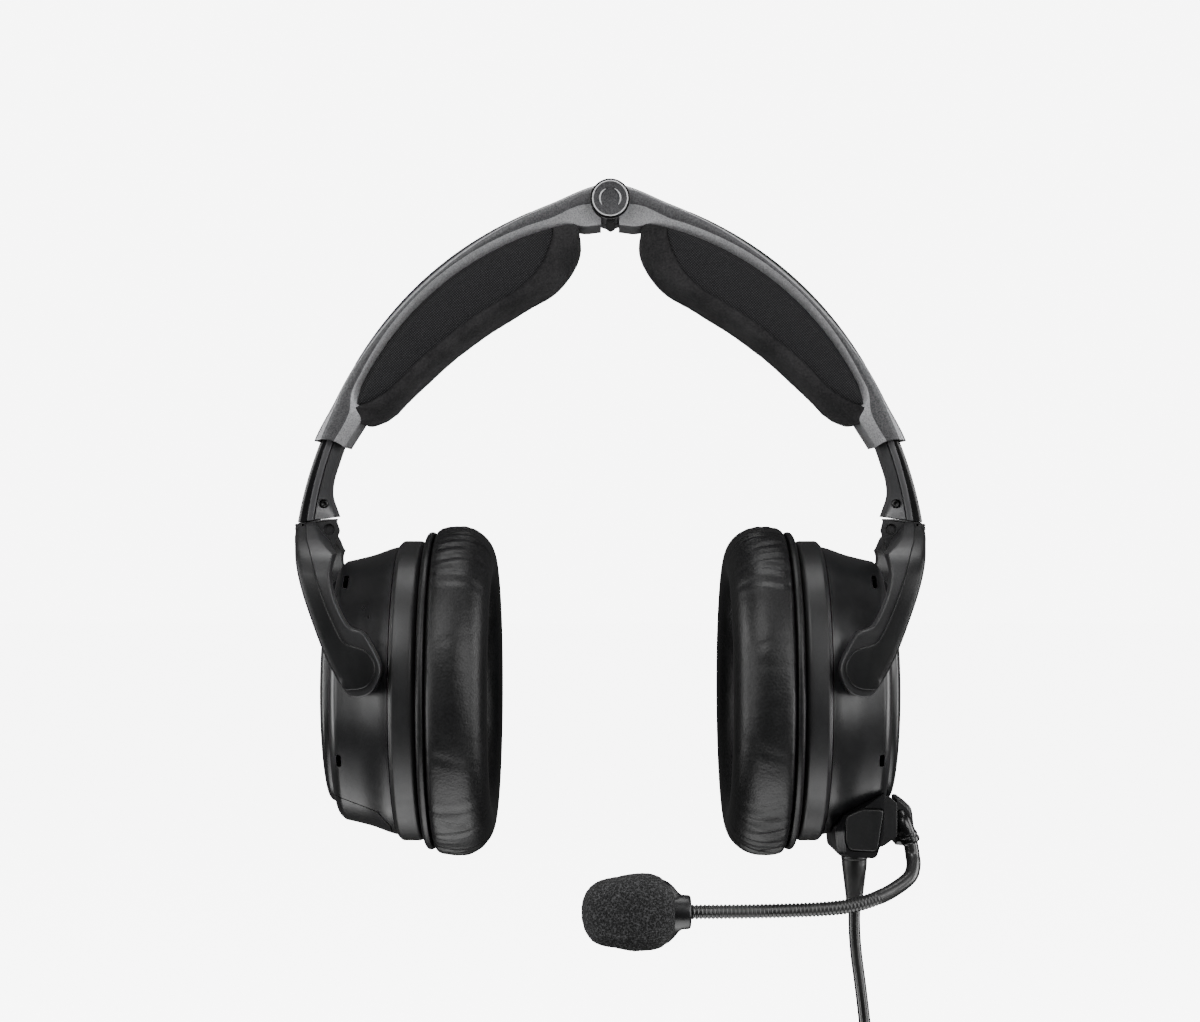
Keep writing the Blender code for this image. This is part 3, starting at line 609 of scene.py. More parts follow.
def make_looks():
    looks = {key: moulded(*row) for key, row in PLASTICS.items()}
    looks.update({
        "powder": powder_coat("powder_coat", (0.03, 0.03, 0.0315), (0.09, 0.09, 0.094)),
        # A lighter copy of the powder coat: painted highlight and painted light from below on the headband's
        # edges
        "powder_painted_light": powder_coat("painted_light_coat", (0.16, 0.16, 0.165), (0.34, 0.34, 0.35)),
        "cap": powder_coat("cap_coat", (0.016, 0.016, 0.017), (0.075, 0.075, 0.079)),
        "steel": brushed_steel(),
        "leather": protein_leather(),
        "knit": knit(),
        "suede": suede(),
        "foam": open_foam(),
        "jacket": cable_jacket("cable_jacket", 0.2, 0.34, 0.01),
        "neck": cable_jacket("gooseneck_jacket", 0.24, 0.34, 0.02),
        "soft": cable_jacket("soft_rubber", 0.34, 0.5, 0.012),
        "scrim": woven("acoustic_cloth", 0.0009, (0.004, 0.004, 0.004), (0.022, 0.022, 0.023)),
        "strap": woven("tie_webbing", 0.0011, (0.006, 0.006, 0.006), (0.03, 0.03, 0.031)),
        "board": solder_mask(),
    })
    return looks


# ------------------------------------------------------------ lead and boom

def lead_route():
    """The lead's centre line: down from the cup, twelve turns of a coil, and down to the plug."""
    cx, cy, cz = COIL_CENTRE
    column = [cy + COIL_PITCH * (k - 1.5) for k in range(4)]
    seats = []
    for k in range(4):
        rows = COIL_ROW_R if k % 2 == 0 else COIL_ROW_R[::-1]
        seats += [(row, column[k]) for row in rows]
    seats.append((COIL_ROW_R[0], column[3] + COIL_PITCH))
    route = evenly(spline(CORD_ROUTE, 16), 4.0)
    x = cx + COIL_ROW_R[0]
    route.append(Vector((x, column[0], between(route[-1].z, cz, 0.5))))
    per_turn = 40
    shift_from = 0.82
    for here, there in zip(seats, seats[1:]):
        for n in range(per_turn):
            t = n / per_turn
            blend = smooth((t - shift_from) / (1 - shift_from))
            radius, y = (between(a, b, blend) for a, b in zip(here, there))
            route.append(Vector(on_arc((cx, cz), radius, -2 * math.pi * t, y)))
    for n in range(9):
        t = n / 8
        route.append(Vector((x, seats[-1][1] - COIL_PITCH * smooth(t), cz - 19.8 * t)))
    return route


def build_lead(looks):
    route = lead_route()
    data = bpy.data.curves.new("lead", "CURVE")
    data.dimensions = "3D"
    data.bevel_depth = CORD_D / 2 * MM
    data.bevel_resolution = 5
    data.use_fill_caps = True
    line = data.splines.new("POLY")
    line.points.add(len(route) - 1)
    for point, place in zip(line.points, route):
        point.co = (*(place * MM), 1.0)
    line.use_smooth = True
    data.materials.append(looks["jacket"])
    lead = put_in_scene("lead", data)
    settle(lead, "cup_right", ["lead_run", "lead_coil"])

    top = (*CORD_EXIT[:2], CORD_EXIT[2] + 16.5)
    corners = [(0, 2.2), (0, 4.3), (1.0, 4.3), (1.3, 4.1), (3.0, 4.05), (13.6, 2.75), (16.4, 2.62),
               (17.2, 2.1)]
    relief = new_piece("strain_relief_sleeve", lathe_skin(top, (0, 0, -1), rounded_profile(corners, 0.3)),
                       IN_WORLD, looks["soft"], "cup_right", ["strain_relief"])
    tie = build_tie(looks)
    plug = build_plug(looks)


def build_tie(looks):
    """The woven strap round the coil's turns."""
    cx, cy, cz = COIL_CENTRE
    half_x, half_y = 4.0, 7.75
    low, high = cz + COIL_ROW_R[2] - CORD_D / 2, cz + COIL_ROW_R[0] + CORD_D / 2
    rings = []
    for gap in (0.35, 1.45):
        front, back = cy - half_y - gap, cy + half_y + gap
        corners = [(front, low - gap), (back, low - gap), (back, high + gap), (front, high + gap)]
        rings.append(fillet(corners, 2.2, 6))
    inner, outer = rings
    bands = []
    for x, ring in ((-half_x, inner), (-half_x, outer), (half_x, outer), (half_x, inner)):
        bands.append([(cx + x, y, z) for y, z in ring])
    return new_piece("coil_strap", skin_of(bands, closed=True), IN_WORLD, looks["strap"], "cup_right",
                     ["coil_tie"], bevel=0.3)


def build_plug(looks):
    """The moulded grip with its flexible sleeve and finger grooves, and the four contacts."""
    cx, cy, cz = COIL_CENTRE
    start = Vector((cx + COIL_ROW_R[0], cy + COIL_PITCH * 1.5, cz - 20.0))
    corners = [(0, 1.95), (0, 2.35)]
    for k in range(3):
        low, wide = 3 + 3 * k, 2.5 + (0, 0.2, 0.45)[k]
        neck = (2.2, 2.35, 2.6)[k]
        corners += [(low, wide), (low + 0.3, neck), (low + 1.3, neck), (low + 1.6, (2.6, 2.85, 3.2)[k])]
    corners += [(12.4, 3.4), (13, 6.2), (15, 7.35)]
    for low in (19, 22.4, 25.8):
        corners += [(low, 7.35), (low + 0.4, 7.0), (low + 1.4, 7.0), (low + 1.8, 7.35)]
    corners += [(34, 7.35), (36, 6.6), (37.5, 5.2)]
    grip = new_piece("plug_grip", lathe_skin(start, (0, 0, -1), rounded_profile(corners, 0.5, 2), 56),
                     IN_WORLD, looks["soft"], "cup_right", ["plug_body"])
    corners = [(0, 3.55), (5.6, 3.55), (5.9, 3.25), (6.5, 3.25), (6.8, 3.55), (11.6, 3.55), (11.9, 3.25),
               (12.5, 3.25), (12.8, 3.1), (15.6, 3.1), (15.9, 2.8), (16.5, 2.8), (16.8, 3.1), (18, 3.1),
               (19.2, 2.35), (20.4, 3.4), (23, 2.4), (24, 1.4)]
    tip = lathe_skin(start - Vector((0, 0, 37.8)), (0, 0, -1), rounded_profile(corners, 0.25, 2))
    contacts = new_piece("plug_contacts", tip, IN_WORLD, looks["steel"], "cup_right", ["plug_pin"])
    return grip, contacts


def build_boom(looks):
    """The ribbed gooseneck, its collar, the microphone housing and the windscreen."""
    neck_start, neck_end = (96.9, -8.7, -49.6), (23.6, -36.2, -66.9)
    path = evenly(spline([ELBOW_ROUTE[-1], neck_start, *BOOM_ROUTE, neck_end], 24), 0.26)
    rib_from_x, rib_pitch, rib_depth = 86.0, 1.3, 0.2
    radii = []
    ribbed = 0.0
    for i, point in enumerate(path):
        if i and point.x < rib_from_x:
            ribbed += (point - path[i - 1]).length
        wave = 0.5 - 0.5 * math.cos(2 * math.pi * ribbed / rib_pitch)
        radii.append(BOOM_R * (1 - rib_depth * smooth(ribbed / 4) * wave))
    new_piece("gooseneck", skin_of(tube_rings(path, radii, 22)), IN_WORLD, looks["neck"], "boom",
              ["boom_gooseneck"])

    build_boom_base(looks)
    way = Vector(ELBOW_ROUTE[-1]) - Vector(ELBOW_ROUTE[-2])
    corners = [(-1.2, 2.0), (-1.2, 3.0), (-0.2, 3.0), (0.0, 2.8), (0.3, 2.8), (0.5, 3.1), (1.7, 3.1),
               (2.2, 2.8), (2.4, 2.1)]
    new_piece("collar_ring", lathe_skin(ELBOW_ROUTE[-1], way, rounded_profile(corners, 0.25), 40), IN_WORLD,
              looks["gloss"], "boom", ["boom_collar"])

    build_mic_housing(looks)
    build_windscreen(looks)


def build_mic_housing(looks):
    """The microphone's collar and the bell behind it, which is cut away at the front."""
    start = MIC_NECK + Vector((0.2, 0, 0))
    collar_radius = 5.4
    corners = [(0, 2.2), (0, 4.7), (0.5, 5.3), (2.9, collar_radius), (3.9, 6.2), (5.2, 7.8), (6.8, 9.3),
               (8.6, 10.2), (9.6, 10.0), (9.6, 4.0)]
    verts, faces = lathe_skin(start, MIC_AXIS, rounded_profile(corners, 0.5), 96)
    shaped = []
    for v in verts:
        off = Vector((0, v[1] - start.y, v[2] - start.z))
        collar = min(off.length, collar_radius)
        share = smooth((off.y / max(off.length, 0.1) + 0.62) / 0.45)
        shaped.append(Vector(v) + off.normalized() * (between(collar, off.length, share) - off.length))
    new_piece("mic_housing", (shaped, faces), IN_WORLD, looks["block"], "boom", ["microphone_housing"])


def build_boom_base(looks):
    """The turning base on the connector's boss, and the elbow that the gooseneck comes out of."""
    outline = [(92.1, -34.4), (93.3, -34.2), (97.4, -37.3), (98.4, -46.4), (95.4, -50.0), (92.1, -49.6)]
    stations = [(y, fillet(grown(outline, -shrink), [0.2, 1.2, 1.8, 1.8, 1.8, 0.2], 5))
                for y, shrink in ((-7.2, 1.4), (-5.8, 0.0), (5.8, 0.0), (7.2, 1.4))]
    new_piece("boom_mount", stacked_skin(stations), IN_WORLD, looks["bezel"], "boom", ["boom_base"],
              bevel=0.4)
    path = evenly(spline(ELBOW_ROUTE, 16), 0.5)
    elbow = skin_of(tube_rings(path, [2.75] * len(path), 32))
    new_piece("boom_elbow", elbow, IN_WORLD, looks["gloss"], "boom", ())


def build_windscreen(looks):
    """The foam windscreen: a soft, slightly uneven bulb with open pores."""
    start = MIC_NECK - Vector((4.7, 0, 0))
    middle = MIC_NECK - Vector((18, 0, 0))
    corners = [(0.3, 4.0), (0.0, 5.6), (0.8, 7.6), (2.4, 9.5), (4.7, 11.2), (7.8, 12.1), (12.3, 12.2),
               (16.5, 11.7), (20.5, 10.9), (24.2, 9.8), (27.0, 7.9), (28.7, 5.0), (29.3, 2.0), (29.35, 0.4)]
    verts, faces = lathe_skin(start, MIC_AXIS, spline(corners, 7), 150)
    shaped = []
    for v in verts:
        point = Vector(v)
        out = (point - middle).normalized()
        lumps = noise.noise(point * 0.13) * 0.45
        pores = noise.noise(point * 0.95) * 0.16 + noise.noise(point * 1.9) * 0.1
        shaped.append(point + out * (lumps + pores - 0.25))
    screen = new_piece("windscreen_foam", (shaped, faces), IN_WORLD, looks["foam"], "boom",
                       ["microphone_windscreen"])


# ------------------------------------------------------------ padded pieces

def inflate(obj, held, pressure, cap_mm, frames=14):
    """Swells a closed mesh with a short cloth simulation. held(vertex) says what stays put."""
    group = obj.vertex_groups.new(name="held")
    group.add([v.index for v in obj.data.vertices if held(v.co)], 1.0, "REPLACE")
    step = obj.modifiers.new("cloth", "CLOTH")
    cloth = step.settings
    cloth.quality = 4
    cloth.mass = 0.15
    cloth.tension_stiffness = 25
    cloth.compression_stiffness = 25
    cloth.shear_stiffness = 15
    cloth.bending_stiffness = 0.4
    cloth.use_pressure = True
    cloth.uniform_pressure_force = pressure
    cloth.vertex_group_mass = "held"
    cloth.effector_weights.gravity = 0.0
    step.collision_settings.use_collision = False
    step.point_cache.frame_start = 1
    step.point_cache.frame_end = frames
    scene = bpy.context.scene
    for number in range(1, frames + 1):
        scene.frame_set(number)
    graph = bpy.context.evaluated_depsgraph_get()
    swollen = [v.co.copy() for v in obj.evaluated_get(graph).data.vertices]
    obj.modifiers.remove(step)
    scene.frame_set(1)
    for vert, moved in zip(obj.data.vertices, swollen):
        shift = moved - vert.co
        if shift.length > cap_mm * MM:
            shift = shift.normalized() * cap_mm * MM
        vert.co += shift
    obj.vertex_groups.clear()


def crease_set(rng, count, middle_deg, spread_deg):
    """Creases across the cushion: (angle, skew, width, depth, where along the width, reach)."""
    made = []
    for k in range(count):
        deg = middle_deg + spread_deg * ((k + 0.5) / count - 0.5) * 2 + rng.uniform(-2.2, 2.2)
        made.append((math.radians(deg), rng.uniform(-0.16, 0.16), rng.uniform(0.014, 0.03),
                     rng.uniform(0.35, 0.95), rng.uniform(0.15, 0.6), rng.uniform(0.28, 0.6)))
    return made


def build_cushion(looks, side_name, side):
    """The oval leather cushion: a swollen ring with creases where it turns at top and bottom."""
    rng = random.Random(11 + side)
    corners = [(56.0, 50.4), (54.6, 52.2), (51.0, 52.9), (46.5, 52.8), (42.4, 51.3), (39.3, 48.6),
               (37.6, 45.2), (37.15, 41.6), (37.9, 38.0), (40.0, 35.2), (43.6, 33.1), (49.0, 32.2),
               (56.0, 32.6)]
    line = spline(corners, 5)
    rings = []
    for a in full_turn(260):
        rings.append([(x, (tall - OVAL_DROP) * math.cos(a), tall * math.sin(a)) for x, tall in line])
    place = side_place(side, True)
    made = new_piece(f"cushion_{side_name}", skin_of(rings, closed=True), place, looks["leather"])
    back = place.inverted()
    inflate(made, lambda co: (back @ co).x > 55.0, 1.6, 0.6)
    half_deep, half_tall = 43.5, 52.0
    creases = []
    for middle in (62, 118, -62, -118):
        creases += crease_set(rng, 7, middle, 24)
    for middle in (0, 180):
        creases += crease_set(rng, 5, middle, 26)
    for vert in made.data.vertices:
        point = back @ vert.co
        a = math.atan2(point.z / half_tall, point.y / half_deep)
        across = (56.0 - point.x) / 19.0
        outer = smooth((math.hypot(point.z / half_tall, point.y / half_deep) - 0.72) / 0.2)
        depth = 0.0
        for angle, skew, width, deep, at, reach in creases:
            off = (a - angle - skew * (across - 0.3) + math.pi) % (2 * math.pi) - math.pi
            near = math.exp(-(off / width) ** 2) - 0.55 * math.exp(-((abs(off) - 1.9 * width) / width) ** 2)
            depth += near * deep * math.exp(-((across - at) / reach) ** 2)
        turn = abs(math.sin(a)) ** 2.2
        soft = noise.noise(Vector((point.x * 0.07, point.y * 0.05, point.z * 0.05))) * 0.22
        small = noise.noise(Vector((point.x * 0.16, point.y * 0.3, point.z * 0.3))) * 0.07
        inward = Vector((0, point.y / half_deep ** 2, point.z / half_tall ** 2)).normalized()
        push = -(depth * (0.12 + 0.88 * turn) * outer) + (soft + small) * smooth(across * 3)
        vert.co = place @ (point + inward * push)
    settle(made, f"cup_{side_name}", [f"ear_cushion_{side_name}"])
    build_cushion_lip(looks, side_name, side)


def build_cushion_lip(looks, side_name, side):
    """The mounting plate with the leather rolled over its edge as a lip."""
    corners = [(56.25, 37.2), (56.25, 50.3), (56.6, 51.2), (57.5, 51.45), (58.3, 51.2), (58.85, 50.4),
               (58.85, 37.2)]
    new_piece(f"cushion_lip_{side_name}", oval_skin(fillet(corners, 0.3, 3), 160), side_place(side, True),
              looks["leather"], f"cup_{side_name}", [f"cushion_plate_{side_name}"])


def pad_low(angle):
    """The head pad's lower radius about the headband's under arc."""
    return BAND_UNDER[1] - inward_distance(on_arc(BAND_UNDER[0], BAND_UNDER[1], angle), angle, PAD_UNDER)


def round_end(t):
    """1 down to 0 along a quarter circle, as t goes from 0 to 1."""
    return math.sqrt(1 - min(max(t, 0.0), 1.0) ** 2)


def build_head_pad(looks, side_name, side):
    """A crescent pad: knit side panels, a brushed lower panel and a sunk seam between them."""
    centre, radius = BAND_UNDER
    place = side_place(side, False)
    stations, upper, lower = 150, 16, 16
    low_deg, high_deg = 19.3, 79.25
    rings = []
    for i in range(stations + 1):
        deg = between(low_deg, high_deg, 0.5 - 0.5 * math.cos(math.pi * i / stations))
        a = math.radians(deg)
        sleeve = round_end((25.0 - deg) / 5.7)
        hinge = round_end((deg - 68.0) / 11.25)
        low = pad_low(a) + 0.5
        low += (91.4 - low) * (1 - sleeve) + (91.6 - low) * (1 - hinge)
        top = radius + 0.8 - 5.6 * (1 - round_end((22.6 - deg) / 3.3))
        height = max(top - low, 0.4)
        wide = 15.1 * (0.8 + 0.2 * min(sleeve, hinge))
        panel = min(round_end((29.0 - deg) / 7.0), round_end((deg - 62.0) / 12.5))
        seam = max(0.05, (height - 6.4) * panel)
        half_ring = []
        for j in range(upper + 1):
            share = j / upper
            depth = seam * share
            emerge = 2.5 * (1 - smooth((depth + 0.4) / 3.0))
            bulge = math.sin(math.pi * share) * 0.7 * panel
            groove = 0.8 * math.exp(-((seam - depth) / 0.55) ** 2)
            half_ring.append((depth, wide + bulge - groove - emerge))
        for j in range(1, lower + 1):
            turn = j / lower * math.pi / 2
            depth = seam + (height - seam) * math.sin(turn)
            groove = 0.8 * math.exp(-((depth - seam) / 0.55) ** 2)
            half_ring.append((depth, (wide + 0.2 - groove) * math.cos(turn) ** 0.7 if j < lower else 0.0))
        ring = [(top - d, y) for d, y in half_ring] + [(top - d, -y) for d, y in reversed(half_ring[:-1])]
        rings.append([on_arc(centre, r, a, y) for r, y in ring])
    per_ring = len(rings[0])
    made = new_piece(f"head_pad_cover_{side_name}", skin_of(rings), place, [looks["knit"], looks["suede"]])
    back = place.inverted()

    def near_band(co):
        point = back @ co
        return math.hypot(point.x - centre[0], point.z - centre[1]) > radius - 2.6

    inflate(made, near_band, 1.2, 0.4)
    for polygon in made.data.polygons:
        columns = [v % per_ring for v in polygon.vertices]
        front = max(columns) <= upper
        rear = min(columns) >= per_ring - 1 - upper
        polygon.material_index = 0 if front or rear else 1
    for vert in made.data.vertices:
        point = back @ vert.co
        fuzz = noise.noise(point * 0.6) * 0.12 + noise.noise(point * 0.1) * 0.3
        sideways = Vector((0, point.y, 0)).normalized() * 0.6
        down = Vector((centre[0] - point.x, 0, centre[1] - point.z)).normalized()
        vert.co = place @ (point + (sideways + down) * fuzz)
    settle(made, f"band_{side_name}", [f"head_pad_{side_name}"])


# ------------------------------------------------------------ headband

SLEEVE_UNDER = [(19.0, 118.8), (20.1, 118.4), (22.4, 117.5), (24.6, 116.8), (27.0, 116.4), (32.0, 116.2)]
# Of the section's 32 faces, those with the lighter copy of the coat: a painted highlight on the top's two
# chamfers and painted light from below on all below the creases
BAND_PAINTED_LIGHT_FACES = (7, *range(14, 25), 31)


def band_edges(angle):
    """Outer radius, and depths of the crease and of the under side, at an angle of the arc."""
    past_mouth = BAND_RADIUS * (angle - MOUTH)
    point = on_arc(BAND_CENTRE, BAND_RADIUS, angle)
    rise = 1.2 * (1 - smooth(past_mouth / 16)) + 1.3 * smooth((20 - point[0]) / 16)
    crease = inward_distance(point, angle, BAND_CREASE) - 2.2 * smooth((22 - point[0]) / 12)
    under = inward_distance(point, angle, BAND_UNDER) + 1.9 * smooth((17 - point[0]) / 7)
    sleeve = BAND_RADIUS - through(SLEEVE_UNDER, math.degrees(angle))
    under = between(sleeve, under, smooth((past_mouth - 14) / 10))
    crease = between(under - 4.2, crease, smooth((past_mouth - 6) / 22))
    return BAND_RADIUS + rise, crease + rise, under + rise


def build_band_trim(looks, side_name, side):
    """The black wear strip along the top of one half."""
    rings = []
    for i in range(25):
        share = i / 24
        a = math.radians(between(32, 66, share))
        low = band_edges(a)[0] - 0.3
        high = low + 0.65 + 0.55 * math.sin(math.pi * share)
        section = fillet([(low, -12.5), (low, 12.5), (high, 11.8), (high, -11.8)], [0.1, 0.1, 0.3, 0.3], 3)
        rings.append([on_arc(BAND_CENTRE, r, a, y) for r, y in section])
    new_piece(f"band_trim_{side_name}", skin_of(rings), side_place(side, False), looks["block"],
              f"band_{side_name}", [f"headband_trim_{side_name}"])


def build_headband(looks, side_name, side):
    """One cast half: rounded edges, the hinge knuckles, the notch and the sleeve for the arm."""
    place = side_place(side, False)
    half, steps = BAND_HALF_WIDTH, 84
    rings = []
    for i in range(steps + 1):
        a = between(BAND_TOP, MOUTH, i / steps)
        outer, crease, under = band_edges(a)
        edge = 1.2 + 1.5 * (1 - smooth((a - MOUTH) / 0.16))
        corners = [(0, 1.6 - half), (0, half - 1.6), (edge, half), (crease, half), (under, half - 3.0),
                   (under, 3.0 - half), (crease, -half), (edge, -half)]
        section = fillet(corners, [0.6, 0.6, 0.9, 0.9, 0.7, 0.7, 0.9, 0.9], 3)
        rings.append([on_arc(BAND_CENTRE, outer - depth, a, y) for depth, y in section])
    around = len(rings[0])
    band = new_piece(f"band_{side_name}", skin_of(rings), place, [looks["powder"], looks["powder_painted_light"]])
    # The listed faces take the lighter copy of the coat: painted light
    for polygon in band.data.polygons:
        if polygon.index < steps * around and polygon.index % around in BAND_PAINTED_LIGHT_FACES:
            polygon.material_index = 1

    def disc(radius, low, high, sides=72):
        return rod_skin((0, low, HINGE_Z), (0, 1, 0), radius, high - low, sides)

    # Cut faces with index 1 (the notch, the knuckles and the sleeve's arch) take the lighter copy of the coat
    # as painted light from below
    cut_with(band, prism_skin([(2.9, 130), (2.9, 175), (-12, 175), (-12, 130)], -20, 20), place, finish=1)
    if side < 0:
        for low, high in ((-20, -6.0), (6.0, 20)):
            cut_with(band, disc(6.45, low, high), place)
        cut_with(band, disc(6.05, -5.7, 5.7), place, "UNION", 1)
    else:
        cut_with(band, disc(6.55, -6.0, 6.0), place)
        for low, high in ((-17.5, -6.3), (6.3, 17.5)):
            cut_with(band, disc(6.15, low, high), place, "UNION", 1)
    cut_with(band, disc(4.6, -24, 24, 40), place)
    opening = fillet([(119.8, -13.4), (119.8, 13.4), (126.9, 13.4), (126.9, -13.4)], 1.0, 3)
    angles = [math.radians(between(16.0, 22.3, i / 8)) for i in range(9)]
    pocket = [[on_arc(BAND_CENTRE, r, a, y) for r, y in opening] for a in angles]
    cut_with(band, skin_of(pocket), place)
    cut_with(band, rod_skin((91.6, -20, 71.6), (0, 1, 0), 9.5, 40, 90), place, finish=1)
    add_bevel(band, 0.5, 3, 40)
    settle(band, f"band_{side_name}", [f"headband_{side_name}"])


# ------------------------------------------------------------ cups

SHELL_OUTSIDE = [(68.0, 46.7), (71.0, 45.9), (76.0, 44.1), (81.0, 42.8), (85.0, 41.9), (86.8, 40.4),
                 (87.5, 38.0), (87.5, 36.4)]
SHELL_INSIDE = [(85.6, 36.4), (84.6, 39.6), (76.0, 42.0), (68.0, 44.6)]
SERVICE_OUTLINE = [(95, -31.9), (86.6, -32.2), (73.0, -37.4), (69.6, -42.5), (69.6, -60), (95, -60)]
BLOCK_OUTLINE = [(70.4, -43.0), (73.4, -38.1), (85.7, -31.2), (85.7, -44.0), (83.2, -51.8), (71.2, -51.2)]
PANEL_OUTLINE = [(73.4, -38.3), (78.6, -36.0), (85.6, -36.2), (83.5, -49.5), (74.8, -49.1), (73.4, -46.5)]
BOSS_OUTLINE = [(80.0, -41.0), (84.6, -33.4), (88.6, -32.8), (91.4, -35.4), (91.4, -46.0), (86.6, -49.6),
                (80.0, -49.6)]


def grown(outline, by):
    """An outline pushed out from its own middle."""
    corners = [Vector(corner) for corner in outline]
    middle = sum(corners, Vector((0, 0))) / len(corners)
    return [tuple(corner + (corner - middle).normalized() * by) for corner in corners]


def shell_skin():
    flank = spline(SHELL_OUTSIDE[:5], 5)
    round_over = fillet(SHELL_OUTSIDE[4:], [0, 1.3, 1.2, 0], 4, closed=False)
    return oval_skin(flank[:-1] + round_over + SHELL_INSIDE)


def build_connector(looks, place, body):
    """The housing of the lead and boom: a faceted block, its boss and a raised five-sided panel."""
    stations = []
    for y, left in ((-23.6, 2.6), (-20.4, 0.0), (6.0, 0.0)):
        outline = [(x + left * (x < 74), z) for x, z in BLOCK_OUTLINE]
        stations.append((y, fillet(outline, [0.8, 0.6, 0.4, 1.0, 1.6, 1.6], 5)))
    block = new_piece("connector_body", stacked_skin(stations), place, looks["block"])
    cut_with(block, prism_skin(fillet(grown(PANEL_OUTLINE, 0.4), 1.6, 5), -26, -22.6), place)
    add_bevel(block, 0.4, 3, 28)
    settle(block, body, ["connector_block"])
    stations = [(y, fillet(grown(PANEL_OUTLINE, -shrink), 1.4, 5))
                for y, shrink in ((-22.7, 0.0), (-24.0, 0.0), (-24.4, 0.4))]
    new_piece("connector_panel", stacked_skin(stations), place, looks["panel"], body, (),
              bevel=0.3)
    boss = fillet(BOSS_OUTLINE, [0.3, 1.5, 1.2, 0.6, 0.6, 2.0, 0.3], 5)
    new_piece("connector_boss", prism_skin(boss, -13.0, 10.0), place, looks["bezel"], body, (),
              bevel=1.2)


def build_cup(looks, side_name, side):
    """The shell with its microphone vents and pivot holes, the bezel, the domed cover and the base part."""
    place = side_place(side, True)
    body = f"cup_{side_name}"
    shell = new_piece(f"shell_{side_name}", shell_skin(), place, looks["shell"])
    for end, facing in ENDS:
        bore = rod_skin((CUP_PIVOT[0], facing * 28, CUP_PIVOT[2]), (0, facing, 0), 2.8, 20, 32)
        cut_with(shell, bore, place)
    for x, z, y in ((83.4, 35.6, -17.6), (84.2, -20.3, -29.4)):
        vent = fillet([(x - 0.8, z - 2), (x + 0.8, z - 2), (x + 0.8, z + 2), (x - 0.8, z + 2)], 0.75)
        cut_with(shell, prism_skin(vent, y - 5, y + 5), place)
    if side < 0:
        cut_with(shell, prism_skin(grown(SERVICE_OUTLINE, 0.35), -27.4, 27.4), place)
        cover = new_piece("service_door", shell_skin(), place, looks["shell"])
        cut_with(cover, prism_skin(SERVICE_OUTLINE, -27, 27), place, "INTERSECT")
        add_bevel(cover, 0.25)
        settle(cover, body, ["service_cover"])
    else:
        cut_with(shell, prism_skin(grown(BLOCK_OUTLINE, 0.35), -24.0, 6.4), place)
        cut_with(shell, prism_skin(grown(BOSS_OUTLINE, 0.35), -13.4, 10.4), place)
    add_bevel(shell, 0.22, 2)
    settle(shell, body, [f"cup_shell_{side_name}"])

    if side > 0:
        build_connector(looks, place, body)
    corners = [(59.3, 45.3), (59.3, 47.2), (60.6, 48.5), (66.4, 48.5), (67.0, 48.1), (67.25, 47.75),
               (67.7, 47.4), (67.7, 45.3)]
    ring = fillet(corners, [0.2, 0.8, 0.8, 0.4, 0.2, 0.2, 0.3, 0.2])
    new_piece(f"bezel_{side_name}", oval_skin(ring), place, looks["bezel"], body, [f"cup_bezel_{side_name}"])
    rim = [(86.0, 35.9, 8.5), (88.7, 35.9, 8.5)]
    crown = [(89.5, 35.5, 8.5), (90.2, 34.5, 8.4), (90.8, 31.8, 7.8), (91.4, 27.0, 6.5), (91.8, 20.0, 4.8),
             (92.0, 12.0, 3.0), (92.05, 4.0, 1.0), (92.05, 0.6, 0.1)]
    new_piece(f"dome_{side_name}", oval_skin(rim + spline(crown, 4), closed=False), place, looks["shell"],
              body, [f"cup_cover_{side_name}"], bevel=0.3)


# ------------------------------------------------------------ yokes and arms

YOKE_EDGE = [(100.2, 54.1), (98.7, 50.6), (97.3, 47.0), (95.7, 40.0), (92.8, 30.1), (86.9, 14.1), (81.1, 3.6),
             (77.4, 0.6), (72.4, 1.9), (69.7, 6.6), (69.6, 11.2), (73.2, 18.4), (75.2, 20.8), (79.6, 22.8),
             (83.5, 30.4), (85.2, 37.2), (85.2, 41.0), (84.7, 44.8)]
YOKE_SHOULDER = [(84.7, 44.8), (89.0, 48.5), (91.8, 51.4), (94.1, 54.85)]
FACE_EDGE = [(99.9, 54.05), (98.5, 50.6), (97.2, 47.0), (95.6, 40.0), (92.7, 30.1), (86.8, 14.1), (81.3, 4.2),
             (77.8, 3.0), (73.6, 4.0), (71.2, 7.2), (70.9, 11.0), (72.9, 14.4), (75.7, 15.9), (79.5, 17.1),
             (81.8, 19.6), (85.4, 27.3), (88.6, 36.0), (91.8, 45.1), (94.3, 49.6), (96.9, 54.4)]
# Depths of the legs' front and back at heights, and the rear leg's outward shift
FRONT_OF_YOKE = [(20, 45.4), (30, 45.4), (36, 44.6), (40, 43.2), (45, 39.2), (49, 32.0), (52, 22.0),
                 (55, 13.2)]
BACK_OF_YOKE = [(20, 38.4), (30, 38.4), (36, 37.4), (40, 35.4), (45, 28.6), (48, 17.0), (50, 0.0), (55, 0.0)]
REAR_SHIFT = [(18, 0.0), (24, 1.2), (32, 4.2), (38, 6.0), (44, 6.4), (50, 2.0), (55, 0.0)]
JOINT_SLOPE = 0.13


def through(table, at):
    """The value at a place, on a smooth curve through a short table of (place, value)."""
    if at <= table[0][0]:
        return table[0][1]
    if at >= table[-1][0]:
        return table[-1][1]
    k = max(i for i in range(len(table) - 1) if table[i][0] <= at)
    (x0, y0), (x1, y1) = table[k], table[k + 1]
    before, after = table[max(k - 1, 0)], table[min(k + 2, len(table) - 1)]
    low_slope = (y1 - before[1]) / (x1 - before[0])
    high_slope = (after[1] - y0) / (after[0] - x0)
    t, span = (at - x0) / (x1 - x0), x1 - x0
    return (y0 * (1 + 2 * t) * (1 - t) ** 2 + low_slope * span * t * (1 - t) ** 2
            + y1 * t * t * (3 - 2 * t) + high_slope * span * t * t * (t - 1))


